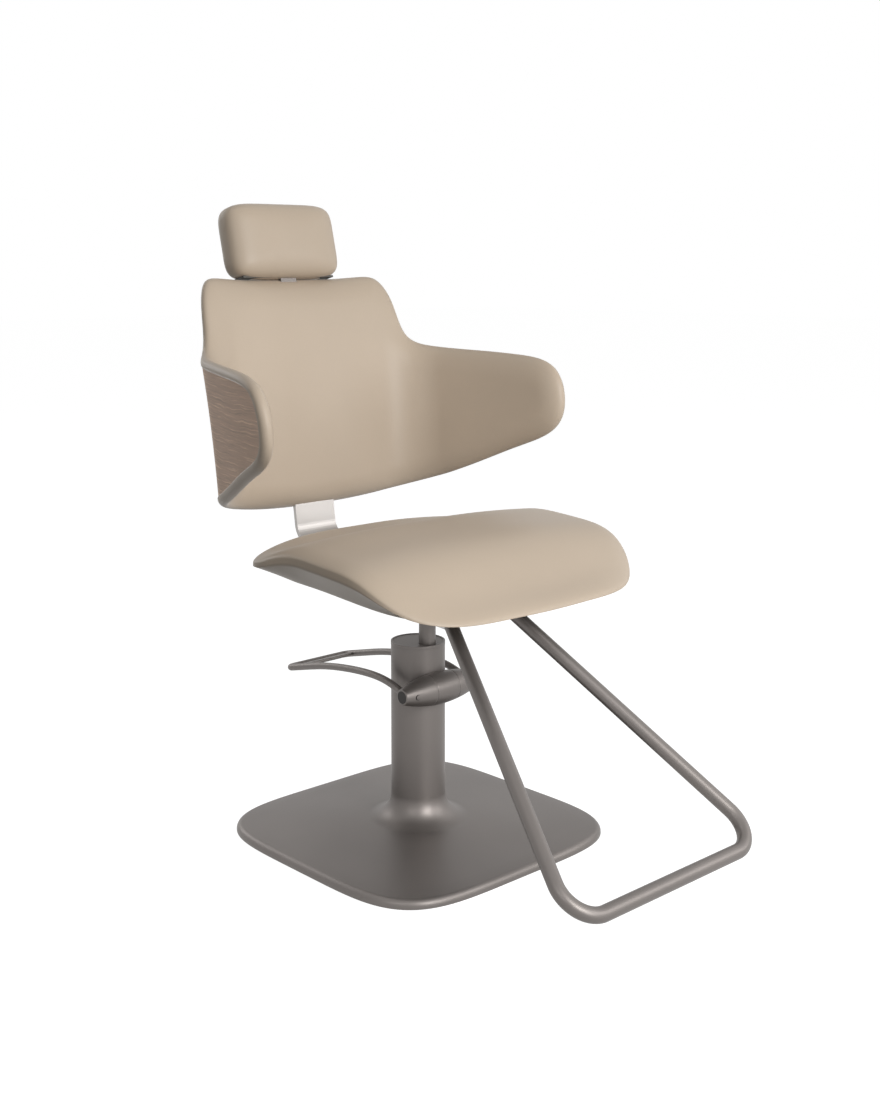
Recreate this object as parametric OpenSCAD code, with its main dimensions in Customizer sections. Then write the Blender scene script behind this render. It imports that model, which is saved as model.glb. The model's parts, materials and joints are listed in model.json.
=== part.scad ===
// Threading chair: square pedestal, hydraulic column, saddle seat, wrap-round back,
// sliding headrest and a tube footrest. Millimetres, +Z up, the sitter faces -Y and
// +X is the sitter's left. The origin is on the floor, on the column's axis.

/* [Base] */
// Half the side of the rounded square foot
base_half = 252.5; // [230:0.5:280]
// Squareness of the foot's outline, where 2 is a circle
base_square = 4.5; // [3.5:0.1:6]
// Height of the foot's flat top at its rim
rim_top = 16; // [15:0.5:22]
// Radius of the rim's upper edge
rim_round = 6; // [3:0.5:7]
// Rise of the foot's top from the rim to the collar
foot_rise = 12; // [6:1:30]
// Radius of the fillet between the foot and the column
collar_fillet = 30; // [20:1:45]
// Thickness of the ballast plate
plate_thick = 8; // [6:0.5:9]
// Thickness of the rubber pad under the plate
glide_thick = 3; // [2:0.5:4]

/* [Column] */
// Outer diameter of the column
column_d = 90; // [86:1:100]
// Wall of the column and of the foot's shell
column_wall = 3; // [2:0.25:3.5]
// Height of the column's top edge
column_top = 327; // [315:1:345]
// Diameter of the ram
ram_d = 28; // [24:1:30]
// Distance of the ram in front of the column's axis
ram_forward = 23; // [19:1:23]
// Travel of the seat
lift_travel = 140; // [60:5:160]

/* [Pump lever] */
// Height of the lever's shaft
lever_z = 257.5; // [240:0.5:270]
// Distance of the shaft in front of the column's axis
lever_forward = 52; // [50:0.5:56]
// Half length of the spindle
spindle_half = 80; // [70:1:90]
// Diameter of the spindle at its middle
spindle_d = 46.5; // [42:0.5:52]
// Diameter of the spindle's flat ends
spindle_end_d = 23; // [20:0.5:28]
// Diameter of the lever's shaft
shaft_d = 12; // [10:0.5:13]
// Diameter of the lever's rod
lever_rod_d = 10.4; // [9:0.2:12]
// Distance of the pedal behind the column's axis
pedal_back = 262; // [220:1:290]
// Travel of the lever in degrees
lever_travel = 28; // [15:1:30]

/* [Seat] */
// Height of the seat's underside over the column's axis
seat_z = 452; // [440:1:475]
// Rise of the underside for each millimetre towards the back
seat_slope = 0.07; // [0.04:0.005:0.09]
// Half of the seat's greatest width
seat_half = 284; // [260:1:300]
// Depth of the seat from front to back
seat_depth = 470; // [440:1:500]
// Place of the column's axis behind the seat's front edge, as a share of the seat's depth
seat_front_share = 0.6426; // [0.6:0.0001:0.68]
// Height of the raised side at its highest place
side_h = 61; // [45:1:75]
// Height of the edge at the back
rear_h = 26; // [18:1:36]
// Swell of the seat's top
seat_crown = 14; // [6:1:24]
// Height of the rolled upper edge
seat_roll = 10.5; // [6:0.5:14]
// How far the side is undercut
side_undercut = 49; // [20:1:60]

/* [Footrest] */
// Outer diameter of the footrest tube
rest_tube_d = 22.5; // [20:0.5:24]
// Wall of the footrest tube
rest_wall = 2; // [1.5:0.25:3]
// Half width between the corners' meeting points
rest_half = 213; // [180:1:240]
// Distance of the cross bar in front of the column's axis
rest_reach = 538; // [500:1:580]
// Height of the cross bar
rest_z = 86; // [70:1:120]
// Radius of the corners
rest_bend = 60; // [45:1:75]

/* [Back] */
// Height of the back's middle
back_mid_z = 700; // [680:1:730]
// Distance of the back's middle behind the column's axis
back_y = 300; // [285:1:320]
// Lean of the back in degrees
back_lean = 8.6; // [4:0.1:12]
// Outward lean of the arms in degrees
arm_splay = 3.2; // [0:0.1:8]
// Bow of the back at its upper and lower edge
back_bow = 11.6; // [6:0.1:14]
// Thickness over the leather in the middle
back_thick = 44; // [40:1:52]
// Thickness over the leather of the arms
arm_thick = 28; // [24:1:34]
// Height of the back from its lower to its upper edge
back_h = 403; // [380:1:430]
// Length round the shell from its middle to the arm's tip
wrap_len = 527; // [480:1:560]
// Radius of the back panel in plan
panel_r = 610; // [500:10:900]
// Radius of the turn into the arms
turn_r = 130; // [110:1:170]
// Angle of the turn into the arms
turn_deg = 55.5; // [45:0.5:62]
// Width of the leather bead round the wood
bead_w = 13; // [12:0.5:18]
// Thickness of the wooden shell
wood_thick = 8; // [6:0.5:9]

/* [Headrest] */
// Width of the headrest
head_w = 233; // [200:1:260]
// Height of the headrest
head_h = 137; // [110:1:150]
// Thickness of the headrest
head_thick = 86; // [70:1:100]
// Height of the headrest's middle
head_z = 986.8; // [986:0.2:1010]
// Distance of the headrest's middle behind the column's axis
head_y = 374; // [368:1:380]
// Lean of the headrest and its slide in degrees
head_lean = 14; // [13:0.5:15]
// Travel of the headrest
head_travel = 70; // [30:5:80]

/* [Hidden] */

// Roundness of turned pieces
$fn = 96;
// Clearance between pieces that are only pushed together
fit = 0.2;
// Radial clearance of a running fit
run = 0.05;
// Gap between flat or soft faces of pieces that move apart
gap = 0.3;
// How far a cut runs past the face that it opens
over = 1;
// A quarter turn
quarter = 90;

// Shared points of the column
column_r = column_d / 2;
column_in = column_r - column_wall;
plate_top = glide_thick + plate_thick;
foot_top = rim_top + foot_rise;
collar_top = foot_top + collar_fillet;
ram_r = ram_d / 2;

// Foot
// Number of points round the foot
foot_steps = 72;
// Number of steps in the fillet
fillet_steps = 6;
// Number of steps in the rim's upper edge
rim_steps = 4;
// Lift of the shell's lower edge over the floor
shell_lift = 1.5;
// Gap between the plate's edge and the shell
plate_gap = 0.5;
// Thickness of the shell's wall at the rim
rim_wall = 6;
// Width of the band on which the shell rests
shell_seat = 22;
// Shares of the way from the collar to the rim
top_shares = [0.12, 0.3, 0.5, 0.7, 0.88];

// Pump
// Clearance of the pump inside the column
pump_gap = 0.8;
// Height of the block that carries the pump
block_h = 26;
// Wall of the ram's cylinder
cylinder_wall = 2.5;
// Excess of the piston's radius over the ram's
piston_step = 0.95;
cylinder_in = ram_r + piston_step + run;
cylinder_r = cylinder_in + cylinder_wall;
block_top = plate_top + block_h;
// Thickness of the column's cap
cap_thick = 3.8;
// Depth of the cap below the column's edge
cap_drop = 0.8;
gland_top = column_top - cap_drop - cap_thick;
// Thickness of the gland's flange
gland_flange = 4.3;
cylinder_top = gland_top - gland_flange;
// Piston
piston_low = 60;
piston_h = 23;
washer_h = 1.7;
spigot_r = 8;
spigot_h = 16;
seal_w = 2;
seal_h = 4;
piston_r = ram_r + piston_step;
washer_top = piston_low + piston_h + washer_h;
// Length of the gland inside the cylinder, which stops the piston at the end of its travel
gland_len = cylinder_top - washer_top - lift_travel - 2 * gap;
// Wiper seal
wiper_h = 3;
wiper_w = 2.4;
// Radius of the oil tank, its distance behind the column's axis, its upper edge and wall
tank_r = 20;
tank_y = 19;
tank_top = 180;
tank_wall = 2.2;
cap_h = 8;
cap_lip = 2;
// Diameter of the bolts through the ballast plate, and where they stand
bolt_d = 8;
bolt_head_d = 15;
bolt_ring = 32;
bolt_grip = 16;
// Release valve
valve_x = 28;
valve_y = 7;
valve_d = 10;
valve_hex = 14;
valve_h = 16;

// Plunger
plunger_x = 30;
plunger_y = -14;
plunger_d = 10;
barrel_wall = 2.5;
barrel_top = 190;
plunger_low = 110;
plunger_cap_d = 17;
plunger_cap_h = 3;
// Wire of the return spring, its turns and the steps of one turn
wire_d = 1.8;
spring_turns = 8;
turn_steps = 12;
wire_sides = 6;
spring_r = 6.9;

// Lever
// Half length of the fixed middle of the spindle
barrel_half = 48;
// Diameter of the bushes and their length
bush_d = 16;
bush_len = 9;
// Place of the crank along the shaft, its width and its reach to the plunger
crank_w = 10;
crank_hub_r = 11;
crank_tip_r = 4;
// Gap round the crank's hub and at its sides, and the window above the shaft
crank_room = 3;
crank_side = 1;
window_high = 6;
// Length of the shaft beyond the crank's neighbours
shaft_half = 70;
hub_pin_d = 6;
hub_pin_x = 62;
key_w = 3;
housing_screw_d = 5;
housing_screw_head = 9;
housing_screw_len = 16;
housing_screw_z = 13;
spindle_steps = 20;
// Rod of the lever: where its arms leave the hubs and how it rises on its way back
arm_x = 69;
pedal_x = 66;
pedal_z = 238.5;
lever_round = 7;
// Shares of the way back and of the lever's length that set the arch of an arm
arch_shares = [[0, 0], [0.14, 0.036], [0.30, 0.0585], [0.50, 0.0505], [0.68, 0.02],
    [0.85, -0.032]];
// Pedal pad
pedal_pad_w = 24;
pedal_pad_h = 3.2;

// Seat
seat_tilt = atan(seat_slope);
// Half outline of the seat from its back to its front: shares of the half width, and
// shares of the depth counted from the front edge
seat_shares = [[0, 1], [0.335, 1.004], [0.67, 0.947], [1.06, 0.806], [0.982, 0.63],
    [1.011, 0.325], [0.954, 0.143], [0.655, 0.015], [0.303, 0.008], [0, -0.002]];
// Where the raised side is highest, and its reach to the back and to the front, as
// shares of the depth
side_peak_share = 0.44;
side_back_share = 0.281;
side_front_share = 0.306;
// How steeply the raised side falls away
side_power = 4;
// Points in each span of the half outline
seat_steps = 4;
// Shares of the half width for the rings of the top, and where the rolled edge begins
top_rings_shares = [0.05, 0.3, 0.52, 0.7, 0.82, 0.88, 0.93, 0.965, 0.988, 1];
roll_share = 0.88;
// Share of the side's height at which it turns under
turn_under_share = 0.8;
under_rings_shares = [0.985, 0.95, 0.8, 0.4, 0.05];
under_lift = 3;
// Board
board_thick = 12;
board_share = 0.78;
// Carrying plate and hub
carry_w = 190;
carry_front = 165;
carry_back_share = 0.398;
seat_front = seat_depth * seat_front_share;
carry_back = seat_depth * (0.5 + carry_back_share) - seat_front;
carry_thick = 5;
carry_round = 12;
hub_d = 54;
hub_len = 46;
hub_wall_top = 6;
ram_grip = 42;
seat_bolt_d = 8;
seat_bolt_x = 78;
// Places of the seat's bolts behind and before its middle, as shares of its depth
seat_bolt_shares = [0.249, -0.0065];
seat_bolt_len = 11;
head_over_d = 1.7;
head_over_h = 0.6;
hub_screw_d = 8;
hub_screw_z = 18;

// Footrest
// Where the legs' centre lines end inside the clamp
leg_top_x = 51;
leg_top_y = 110;
leg_top_z = 424;
clamp_w = 156;
clamp_front = 152;
clamp_back = 97;
clamp_h = 50;
clamp_bolt_d = 8;
clamp_bolt_x = 24;
clamp_bolt_a = 108;
clamp_bolt_b = 141;
grub_d = 6;
grub_len = 12;
grub_down = 18;

// Back strap
strap_w = 86;
strap_thick = 7;
strap_lean = 8;
strap_y = 272.5;
strap_ref_z = 478;
strap_top_z = 655;
strap_bend = 34;
// Distances of the strap's front end and of its bolts before the plate's back edge
strap_reach = 58;
strap_bolt_d = 8;
strap_bolt_x = 18;
strap_bolt_a = 42;
strap_bolt_b = 16;

// Back
// Half outline of the back from the top's middle round the arm's tip to the bottom's
// middle: shares of the length round the shell, and shares of the height
outline_shares = [[0, 1.002], [0.11, 1.002], [0.21, 1.004], [0.31, 1.016], [0.357, 1.012],
    [0.396, 0.905], [0.407, 0.722], [0.49, 0.692], [0.631, 0.684], [0.841, 0.672], [0.994, 0.645],
    [1.004, 0.4], [0.914, 0.306], [0.793, 0.256], [0.545, 0.113], [0.287, 0.02], [0, 0]];
// Height of the lower edge as a share of the back's height below its middle
back_low_share = 0.4565;
// Length of the flatter panel as a share of the length round the shell
panel_share = 0.294;
// Radius of the arms in plan as a share of the panel's
arm_r_share = 3.2;
// Height above the middle at which the bow is measured
bow_span = 200;
// Length over which the arms' outward lean grows
splay_span = 150;
// Points in each span of the half outline, and columns from the middle to the tip
outline_steps = 12;
columns = 19;
// Crowding of the columns towards the middle, and the share of the way that they reach
column_power = 0.85;
column_reach = 0.9985;
// Columns before and behind the place where the bead's two sides meet
crowd_shares = [-0.025, -0.009, -0.003, -0.0008];
close_shares = [-0.0002, 0.0006];
// Depth of the wood's face below the bead
wood_drop = 1.5;
// Swell of the back's front
back_crown = 5;
// Gap between the wood and the leather round it
wood_gap = 0.8;
// Rounding of the edge at its back, and width over which the front rolls to the edge
edge_back = 11;
front_roll = 45;
back_half = back_thick / 2;
edge_level = back_half - edge_back;
arm_r = panel_r * arm_r_share;
panel_len = wrap_len * panel_share;
turn_len = turn_r * turn_deg * PI / 180;
back_low = back_mid_z - back_h * back_low_share;
// Mounting plate between strap and wood
back_plate_w = 84;
back_plate_low = 92;
back_plate_high = 190;
back_plate_thick = 3;
back_bolt_d = 6;
back_bolt_x = 18;
back_bolt_a = 108;
back_bolt_b = 150;
// Studs that carry the wood: their distance from the middle, heights and lengths
stud_x = 30;
stud_d = 12;
studs = [[100, 4.2], [182, 1.2]];
pocket_side = 4;

// Headrest
stem_w = 34;
stem_thick = 6;
stem_y = -8;
sleeve_wall = 2.5;
sleeve_w_wall = 5;
sleeve_top = -96;
sleeve_len = 100;
// Length of the stem left in the sleeve at the top of its travel
stem_grip = 72;
stem_low = sleeve_top - stem_grip - head_travel;
stem_high = 14;
head_plate_w = 150;
head_plate_h = 70;
head_plate_thick = 3;
screw_d = 4;
sleeve_screw_x = 21.5;
head_screw_x = 50;
head_base_w = 200;
head_base_d = 30;
head_base_h = 3.4;
head_base_up = 1;
head_round = 2.9;
head_square = 6;
head_steps = 56;
head_rings_shares = [-1, -0.985, -0.93, -0.82, -0.66, -0.44, -0.2, 0, 0.2, 0.44, 0.66, 0.82, 0.93,
    0.985, 1];

// Colours
metal = [0.46, 0.43, 0.41];
bright = [0.80, 0.80, 0.79];
leather = [0.76, 0.69, 0.61];
wood = [0.47, 0.38, 0.32];
dark = [0.20, 0.19, 0.18];
bronze = [0.72, 0.55, 0.34];
board_tone = [0.80, 0.70, 0.55];

// Point of a smooth curve between four guide points, for u from 0 to 1
function smooth(a, b, c, d, u) =
    (pow(1 - u, 3) * a + (3 * pow(u, 3) - 6 * u * u + 4) * b
        + (3 * u + 3 * u * u - 3 * pow(u, 3) + 1) * c + pow(u, 3) * d) / 6;

// Guide points with their mirror images added at both ends
function mirrored(g) = let(m = len(g))
    concat([[-g[1].x, g[1].y]], g, [[-g[m - 2].x, g[m - 2].y]]);

// Smooth half outline through mirrored guide points, n points in each span
function half_curve(g, n) = let(e = mirrored(g), m = len(e))
    concat([for (i = [0:m - 4]) for (k = [0:n - 1])
            smooth(e[i], e[i + 1], e[i + 2], e[i + 3], k / n)],
        [smooth(e[m - 4], e[m - 3], e[m - 2], e[m - 1], 1)]);

// Table of the share of a line's length reached at each of its points, with one of its
// two coordinates
function run_length(c) =
    [for (i = 0, s = 0; i < len(c); s = s + (i + 1 < len(c) ? norm(c[i + 1] - c[i]) : 0),
        i = i + 1) s];
function length_table(c, axis) = let(s = run_length(c), all = s[len(s) - 1])
    [for (i = [0:len(c) - 1]) [s[i] / all, c[i][axis]]];

// Closed mesh from rings of equal length, with both ends capped, or joined end to end.
// Its faces are split along one diagonal, or along the other where a facing mesh needs it
module skin(rings, joined = false, other = false) {
    n = len(rings[0]);
    m = len(rings);
    last = joined ? m - 1 : m - 2;
    sides = [for (i = [0:last]) for (j = [0:n - 1])
        let(a = i * n + j, b = i * n + (j + 1) % n, c = ((i + 1) % m) * n + j,
            d = ((i + 1) % m) * n + (j + 1) % n)
        each other ? [[a, b, c], [b, d, c]] : [[a, b, d], [a, d, c]]];
    caps = joined ? [] : [[for (j = [n - 1:-1:0]) j], [for (j = [0:n - 1]) (m - 1) * n + j]];
    polyhedron([for (r = rings) each r], concat(sides, caps), convexity = 6);
}

// Distance from the middle to the foot's outline in a direction
function foot_reach(a) = base_half
    / pow(pow(abs(cos(a)), base_square) + pow(abs(sin(a)), base_square), 1 / base_square);

// Ring of the foot: radius of its round part, share of the square outline, inset and height
function foot_ring(r, k, inset, z) = [for (i = [0:foot_steps - 1])
    let(a = 360 * i / foot_steps, q = r * (1 - k) + k * (foot_reach(a) - inset))
    [q * cos(a), q * sin(a), z]];

function foot_face(drop) = [for (k = top_shares)
    foot_ring(column_r + collar_fillet, k, 0, foot_top - foot_rise * k - drop)];

module foot_outline(inset) {
    polygon([for (i = [0:foot_steps - 1]) let(a = 360 * i / foot_steps,
        q = foot_reach(a) - inset) [q * cos(a), q * sin(a)]]);
}

module floor_pad() {
    color(dark) linear_extrude(glide_thick) foot_outline(2 * rim_wall);
}

module base_plate() {
    color(metal) difference() {
        translate([0, 0, glide_thick]) linear_extrude(plate_thick)
            foot_outline(rim_wall + plate_gap);
        for (a = [45:quarter:315]) rotate(a) translate([bolt_ring, 0, 0]) {
            translate([0, 0, glide_thick - over]) cylinder(d = bolt_d + fit, h = plate_thick + 2 * over);
            translate([0, 0, glide_thick - over])
                cylinder(d = bolt_head_d + 2 * fit, h = plate_thick / 2 + over);
        }
    }
}

module base_cover() {
    centre_r = column_r + collar_fillet;
    fillet = [for (i = [0:fillet_steps]) quarter * i / fillet_steps];
    outer = [for (a = fillet) foot_ring(centre_r - collar_fillet * cos(a), 0, 0,
        collar_top - collar_fillet * sin(a))];
    rim = [for (i = [0:rim_steps]) let(a = quarter * i / rim_steps)
        foot_ring(0, 1, rim_round * (1 - sin(a)), rim_top - rim_round * (1 - cos(a)))];
    under = [foot_ring(0, 1, 0, shell_lift + over), foot_ring(0, 1, over, shell_lift),
        foot_ring(0, 1, rim_wall, shell_lift), foot_ring(0, 1, rim_wall, plate_top),
        foot_ring(0, 1, rim_wall + shell_seat, plate_top)];
    far = collar_fillet + column_wall;
    inner_face = foot_face(column_wall);
    inner = [for (i = [len(inner_face) - 1:-1:0]) inner_face[i]];
    inner_fillet = [for (i = [fillet_steps:-1:0]) let(a = fillet[i])
        foot_ring(centre_r - far * cos(a), 0, 0, collar_top - far * sin(a))];
    color(metal) skin(concat(outer, foot_face(0), rim, under, inner, inner_fillet),
        joined = true);
}

module pump_bolts() {
    color(dark) for (a = [45:quarter:315]) rotate(a) translate([bolt_ring, 0, glide_thick]) {
        cylinder(d = bolt_d, h = plate_thick + bolt_grip);
        cylinder(d = bolt_head_d, h = plate_thick / 2 - fit);
    }
}

module pump_block() {
    color(metal) difference() {
        translate([0, 0, plate_top]) cylinder(r = column_in - pump_gap, h = block_h);
        for (a = [45:quarter:315]) rotate(a) translate([bolt_ring, 0, plate_top - over])
            cylinder(d = bolt_d + fit, h = bolt_grip + over + fit);
        translate([-valve_x, valve_y, block_top - block_h / 2])
            cylinder(d = valve_d + fit, h = block_h);
    }
}

module pump_cylinder() {
    color(metal) translate([0, -ram_forward, block_top]) difference() {
        cylinder(r = cylinder_r, h = cylinder_top - block_top);
        translate([0, 0, -over]) cylinder(r = cylinder_in, h = cylinder_top);
    }
}

module oil_tank() {
    color(dark) translate([0, tank_y, block_top]) difference() {
        cylinder(r = tank_r, h = tank_top - block_top);
        translate([0, 0, tank_wall]) cylinder(r = tank_r - tank_wall, h = tank_top);
    }
}

module tank_cap() {
    color(metal) translate([0, tank_y, tank_top]) {
        cylinder(r = tank_r, h = cap_lip);
        translate([0, 0, -cap_h]) cylinder(r = tank_r - tank_wall - fit, h = cap_h + cap_lip);
    }
}

module plunger_barrel() {
    color(metal) translate([plunger_x, plunger_y, block_top]) difference() {
        cylinder(d = plunger_d + 2 * barrel_wall, h = barrel_top - block_top);
        translate([0, 0, -over]) cylinder(d = plunger_d + 2 * run, h = barrel_top);
    }
}

module release_valve() {
    color(bronze) translate([-valve_x, valve_y, block_top]) {
        translate([0, 0, -block_h / 2 + fit]) cylinder(d = valve_d, h = block_h / 2);
        cylinder(d = valve_hex, h = valve_h / 2, $fn = 6);
        cylinder(d = valve_d, h = valve_h);
    }
}

module ram_gland() {
    color(bronze) translate([0, -ram_forward, 0]) difference() {
        union() {
            translate([0, 0, cylinder_top - gland_len])
                cylinder(r = cylinder_in - run, h = gland_len + gland_flange);
            translate([0, 0, cylinder_top]) cylinder(r = cylinder_r, h = gland_flange);
        }
        translate([0, 0, cylinder_top - gland_len - over])
            cylinder(r = ram_r + run, h = gland_len + gland_flange + 2 * over);
        translate([0, 0, gland_top - wiper_h])
            cylinder(r = ram_r + wiper_w + run, h = wiper_h + over);
    }
}

module wiper_seal() {
    color(dark) translate([0, -ram_forward, gland_top - wiper_h]) difference() {
        cylinder(r = ram_r + wiper_w, h = wiper_h);
        translate([0, 0, -over]) cylinder(r = ram_r + run, h = wiper_h + 2 * over);
    }
}

// How far the crank's arm swings below the shaft at a distance behind it
function crank_drop(back) = back * tan(lever_travel) + crank_tip_r / cos(lever_travel) + crank_side;

// Room that the crank needs: round its hub, and on its way back to the plunger
module crank_slot(window_low) {
    w = crank_w + 2 * crank_side;
    translate([plunger_x - w / 2, -lever_forward, lever_z]) rotate([0, quarter, 0])
        cylinder(r = crank_hub_r + crank_room, h = w);
    translate([plunger_x - w / 2, -lever_forward, lever_z - window_low])
        cube([w, lever_forward, window_low + window_high]);
}

module column_cover() {
    h = column_top - collar_top;
    color(metal) difference() {
        translate([0, 0, collar_top]) cylinder(r = column_r, h = h);
        translate([0, 0, collar_top - over]) cylinder(r = column_in, h = h + 2 * over);
        crank_slot(crank_drop(lever_forward
            - sqrt(pow(column_in, 2) - pow(plunger_x + crank_w / 2, 2))));
        for (z = [-housing_screw_z, housing_screw_z]) translate([0, 0, lever_z + z])
            rotate([quarter, 0, 0]) cylinder(d = housing_screw_d + fit, h = column_r + over);
    }
}

module column_cap() {
    color(metal) translate([0, 0, gland_top]) difference() {
        cylinder(r = column_in - fit / 2, h = cap_thick);
        translate([0, -ram_forward, -over]) cylinder(r = ram_r + 2 * gap, h = cap_thick + 2 * over);
    }
}

// Radius of the spindle at a distance from its middle, on one flat arc
spindle_drop = (spindle_d - spindle_end_d) / 2;
spindle_arc = (spindle_half * spindle_half + spindle_drop * spindle_drop) / (2 * spindle_drop);
function spindle_r(x) = spindle_d / 2 - spindle_arc + sqrt(spindle_arc * spindle_arc - x * x);

// Solid of the spindle between two places along it
module spindle(from, to) {
    n = spindle_steps;
    translate([0, -lever_forward, lever_z]) rotate([0, quarter, 0]) rotate_extrude()
        polygon(concat([[0, from]], [for (i = [0:n]) let(x = from + (to - from) * i / n)
            [spindle_r(x), x]], [[0, to]]));
}

module on_shaft(from, len, r) {
    translate([from, -lever_forward, lever_z]) rotate([0, quarter, 0]) cylinder(r = r, h = len);
}

module lever_housing() {
    color(metal) difference() {
        spindle(-barrel_half, barrel_half);
        translate([0, 0, lever_z - spindle_d]) cylinder(r = column_r, h = 2 * spindle_d);
        on_shaft(-barrel_half - over, 2 * barrel_half + 2 * over, shaft_d / 2 + fit);
        for (s = [-1, 1]) on_shaft(s * (barrel_half - bush_len / 2) - bush_len / 2 - (s < 0 ? over : 0),
            bush_len + over, bush_d / 2);
        crank_slot(crank_drop(spindle_end_d * 0.75));
        for (z = [-housing_screw_z, housing_screw_z])
            translate([0, -column_r + column_wall, lever_z + z]) rotate([quarter, 0, 0])
                cylinder(d = housing_screw_d + fit, h = housing_screw_len + fit);
    }
}

module housing_screws() {
    color(dark) for (z = [-housing_screw_z, housing_screw_z])
        translate([0, -column_in, lever_z + z]) rotate([quarter, 0, 0])
            cylinder(d = housing_screw_d, h = housing_screw_len);
}

module shaft_bushes() {
    color(bronze) for (s = [-1, 1]) difference() {
        on_shaft(s * (barrel_half - bush_len / 2) - bush_len / 2, bush_len, bush_d / 2 - run);
        on_shaft(s * (barrel_half - bush_len / 2) - bush_len, 2 * bush_len, shaft_d / 2 + run);
    }
}

module piston_head() {
    color(metal) translate([0, -ram_forward, piston_low]) difference() {
        cylinder(r = piston_r, h = piston_h);
        translate([0, 0, piston_h - spigot_h]) cylinder(r = spigot_r + run, h = spigot_h + over);
        translate([0, 0, (piston_h - seal_h) / 2]) difference() {
            cylinder(r = piston_r + over, h = seal_h);
            cylinder(r = piston_r - seal_w, h = seal_h);
        }
    }
}

module piston_seal() {
    color(dark) translate([0, -ram_forward, piston_low + (piston_h - seal_h) / 2]) difference() {
        cylinder(r = piston_r, h = seal_h);
        cylinder(r = piston_r - seal_w, h = seal_h);
    }
}

module thrust_washer() {
    color(bronze) translate([0, -ram_forward, piston_low + piston_h]) difference() {
        cylinder(r = ram_r, h = washer_h);
        translate([0, 0, -over]) cylinder(r = spigot_r + run, h = washer_h + 2 * over);
    }
}

// Height of the seat's underside and of the plate's lower face at a place along Y
function under_z(y) = seat_z + seat_slope * y;
plate_low_z = under_z(-ram_forward) - carry_thick / cos(seat_tilt);
ram_top = plate_low_z - hub_wall_top;

module ram() {
    color(metal) translate([0, -ram_forward, 0]) {
        translate([0, 0, washer_top + gap]) cylinder(r = ram_r, h = ram_top - washer_top - gap);
        translate([0, 0, washer_top + gap - spigot_h + over])
            cylinder(r = spigot_r, h = spigot_h);
    }
}

// Places what is drawn with the seat's underside as its floor
module under_seat() {
    translate([0, 0, seat_z]) rotate([seat_tilt, 0, 0]) children();
}

module seat_hub() {
    color(metal) difference() {
        translate([0, -ram_forward, ram_top - ram_grip]) cylinder(d = hub_d, h = hub_len + hub_d);
        translate([0, -ram_forward, ram_top - ram_grip - over])
            cylinder(r = ram_r + run, h = ram_grip + over);
        under_seat() translate([-hub_d, -hub_d - ram_forward, -carry_thick])
            cube([2 * hub_d, 2 * hub_d, hub_d + hub_len]);
        for (s = [0, 180]) translate([0, -ram_forward, ram_top - ram_grip + hub_screw_z])
            rotate(s) rotate([0, quarter, 0]) cylinder(d = hub_screw_d, h = hub_d);
    }
}

module hub_screws() {
    color(dark) for (s = [0, 180]) translate([0, -ram_forward, ram_top - ram_grip + hub_screw_z])
        rotate(s) translate([ram_r + fit, 0, 0]) rotate([0, quarter, 0])
            cylinder(d = hub_screw_d - fit, h = hub_d / 2 - ram_r - fit);
}

// Plate outline with round corners, between two places along Y
module rounded(x, y0, y1, r) {
    translate([-x, y0 + r]) square([2 * x, y1 - y0 - 2 * r]);
    translate([r - x, y0]) square([2 * x - 2 * r, y1 - y0]);
    for (s = [-1, 1], y = [y0 + r, y1 - r]) translate([s * (x - r), y]) circle(r = r);
}

module seat_bolt_places() {
    for (s = [-1, 1], q = seat_bolt_shares)
        translate([s * seat_bolt_x, seat_mid_y + q * seat_depth, 0]) children();
}

module strap_bolt_places() {
    for (s = [-1, 1], y = [strap_bolt_a, strap_bolt_b])
        translate([s * strap_bolt_x, carry_back - y, 0]) children();
}

module clamp_bolt_places() {
    for (x = [-clamp_bolt_x, clamp_bolt_x], y = [clamp_bolt_a, clamp_bolt_b])
        translate([x, -y, 0]) children();
}

module seat_plate() {
    color(metal) under_seat() difference() {
        translate([0, 0, -carry_thick]) linear_extrude(carry_thick)
            rounded(carry_w / 2, -carry_front, carry_back, carry_round);
        seat_bolt_places() translate([0, 0, -2 * carry_thick])
            cylinder(d = seat_bolt_d + 2 * fit, h = 3 * carry_thick);
        strap_bolt_places() translate([0, 0, -2 * carry_thick])
            cylinder(d = strap_bolt_d + 2 * fit, h = 3 * carry_thick);
        clamp_bolt_places() translate([0, 0, -2 * carry_thick])
            cylinder(d = clamp_bolt_d + 2 * fit, h = 3 * carry_thick);
    }
}

// Seat outline in plan
seat_guides = [for (p = seat_shares) [p.x * seat_half, p.y * seat_depth - seat_front]];
seat_curve = half_curve(seat_guides, seat_steps);
seat_loop = concat(seat_curve, [for (i = [len(seat_curve) - 2:-1:1])
    [-seat_curve[i].x, seat_curve[i].y]]);
seat_mid_y = seat_depth / 2 - seat_front;
side_peak_y = side_peak_share * seat_depth - seat_front;

// Height of the seat's edge over its underside
function side_rise(y) = let(d = y - side_peak_y,
        reach = seat_depth * (d > 0 ? side_back_share : side_front_share),
        low = d > 0 ? rear_h : 0)
    low + (side_h - low) * exp(-pow(abs(d) / reach, side_power));

function seat_at(k, undercut) = [for (p = seat_loop)
    [p.x * k * (1 - undercut / seat_half), seat_mid_y + (p.y - seat_mid_y) * k]];

function roll_height(k) = k < roll_share ? 1
    : sqrt(max(0, 1 - pow((k - roll_share) / (1 - roll_share), 2)));

function seat_top(k) = [for (p = seat_at(k, 0)) [p.x, p.y, under_z(p.y) + side_rise(p.y)
    + seat_crown * (1 - k * k) + seat_roll * roll_height(k)]];

function seat_under(k, lift) = [for (p = seat_at(k, side_undercut)) [p.x, p.y, under_z(p.y) + lift]];

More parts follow.
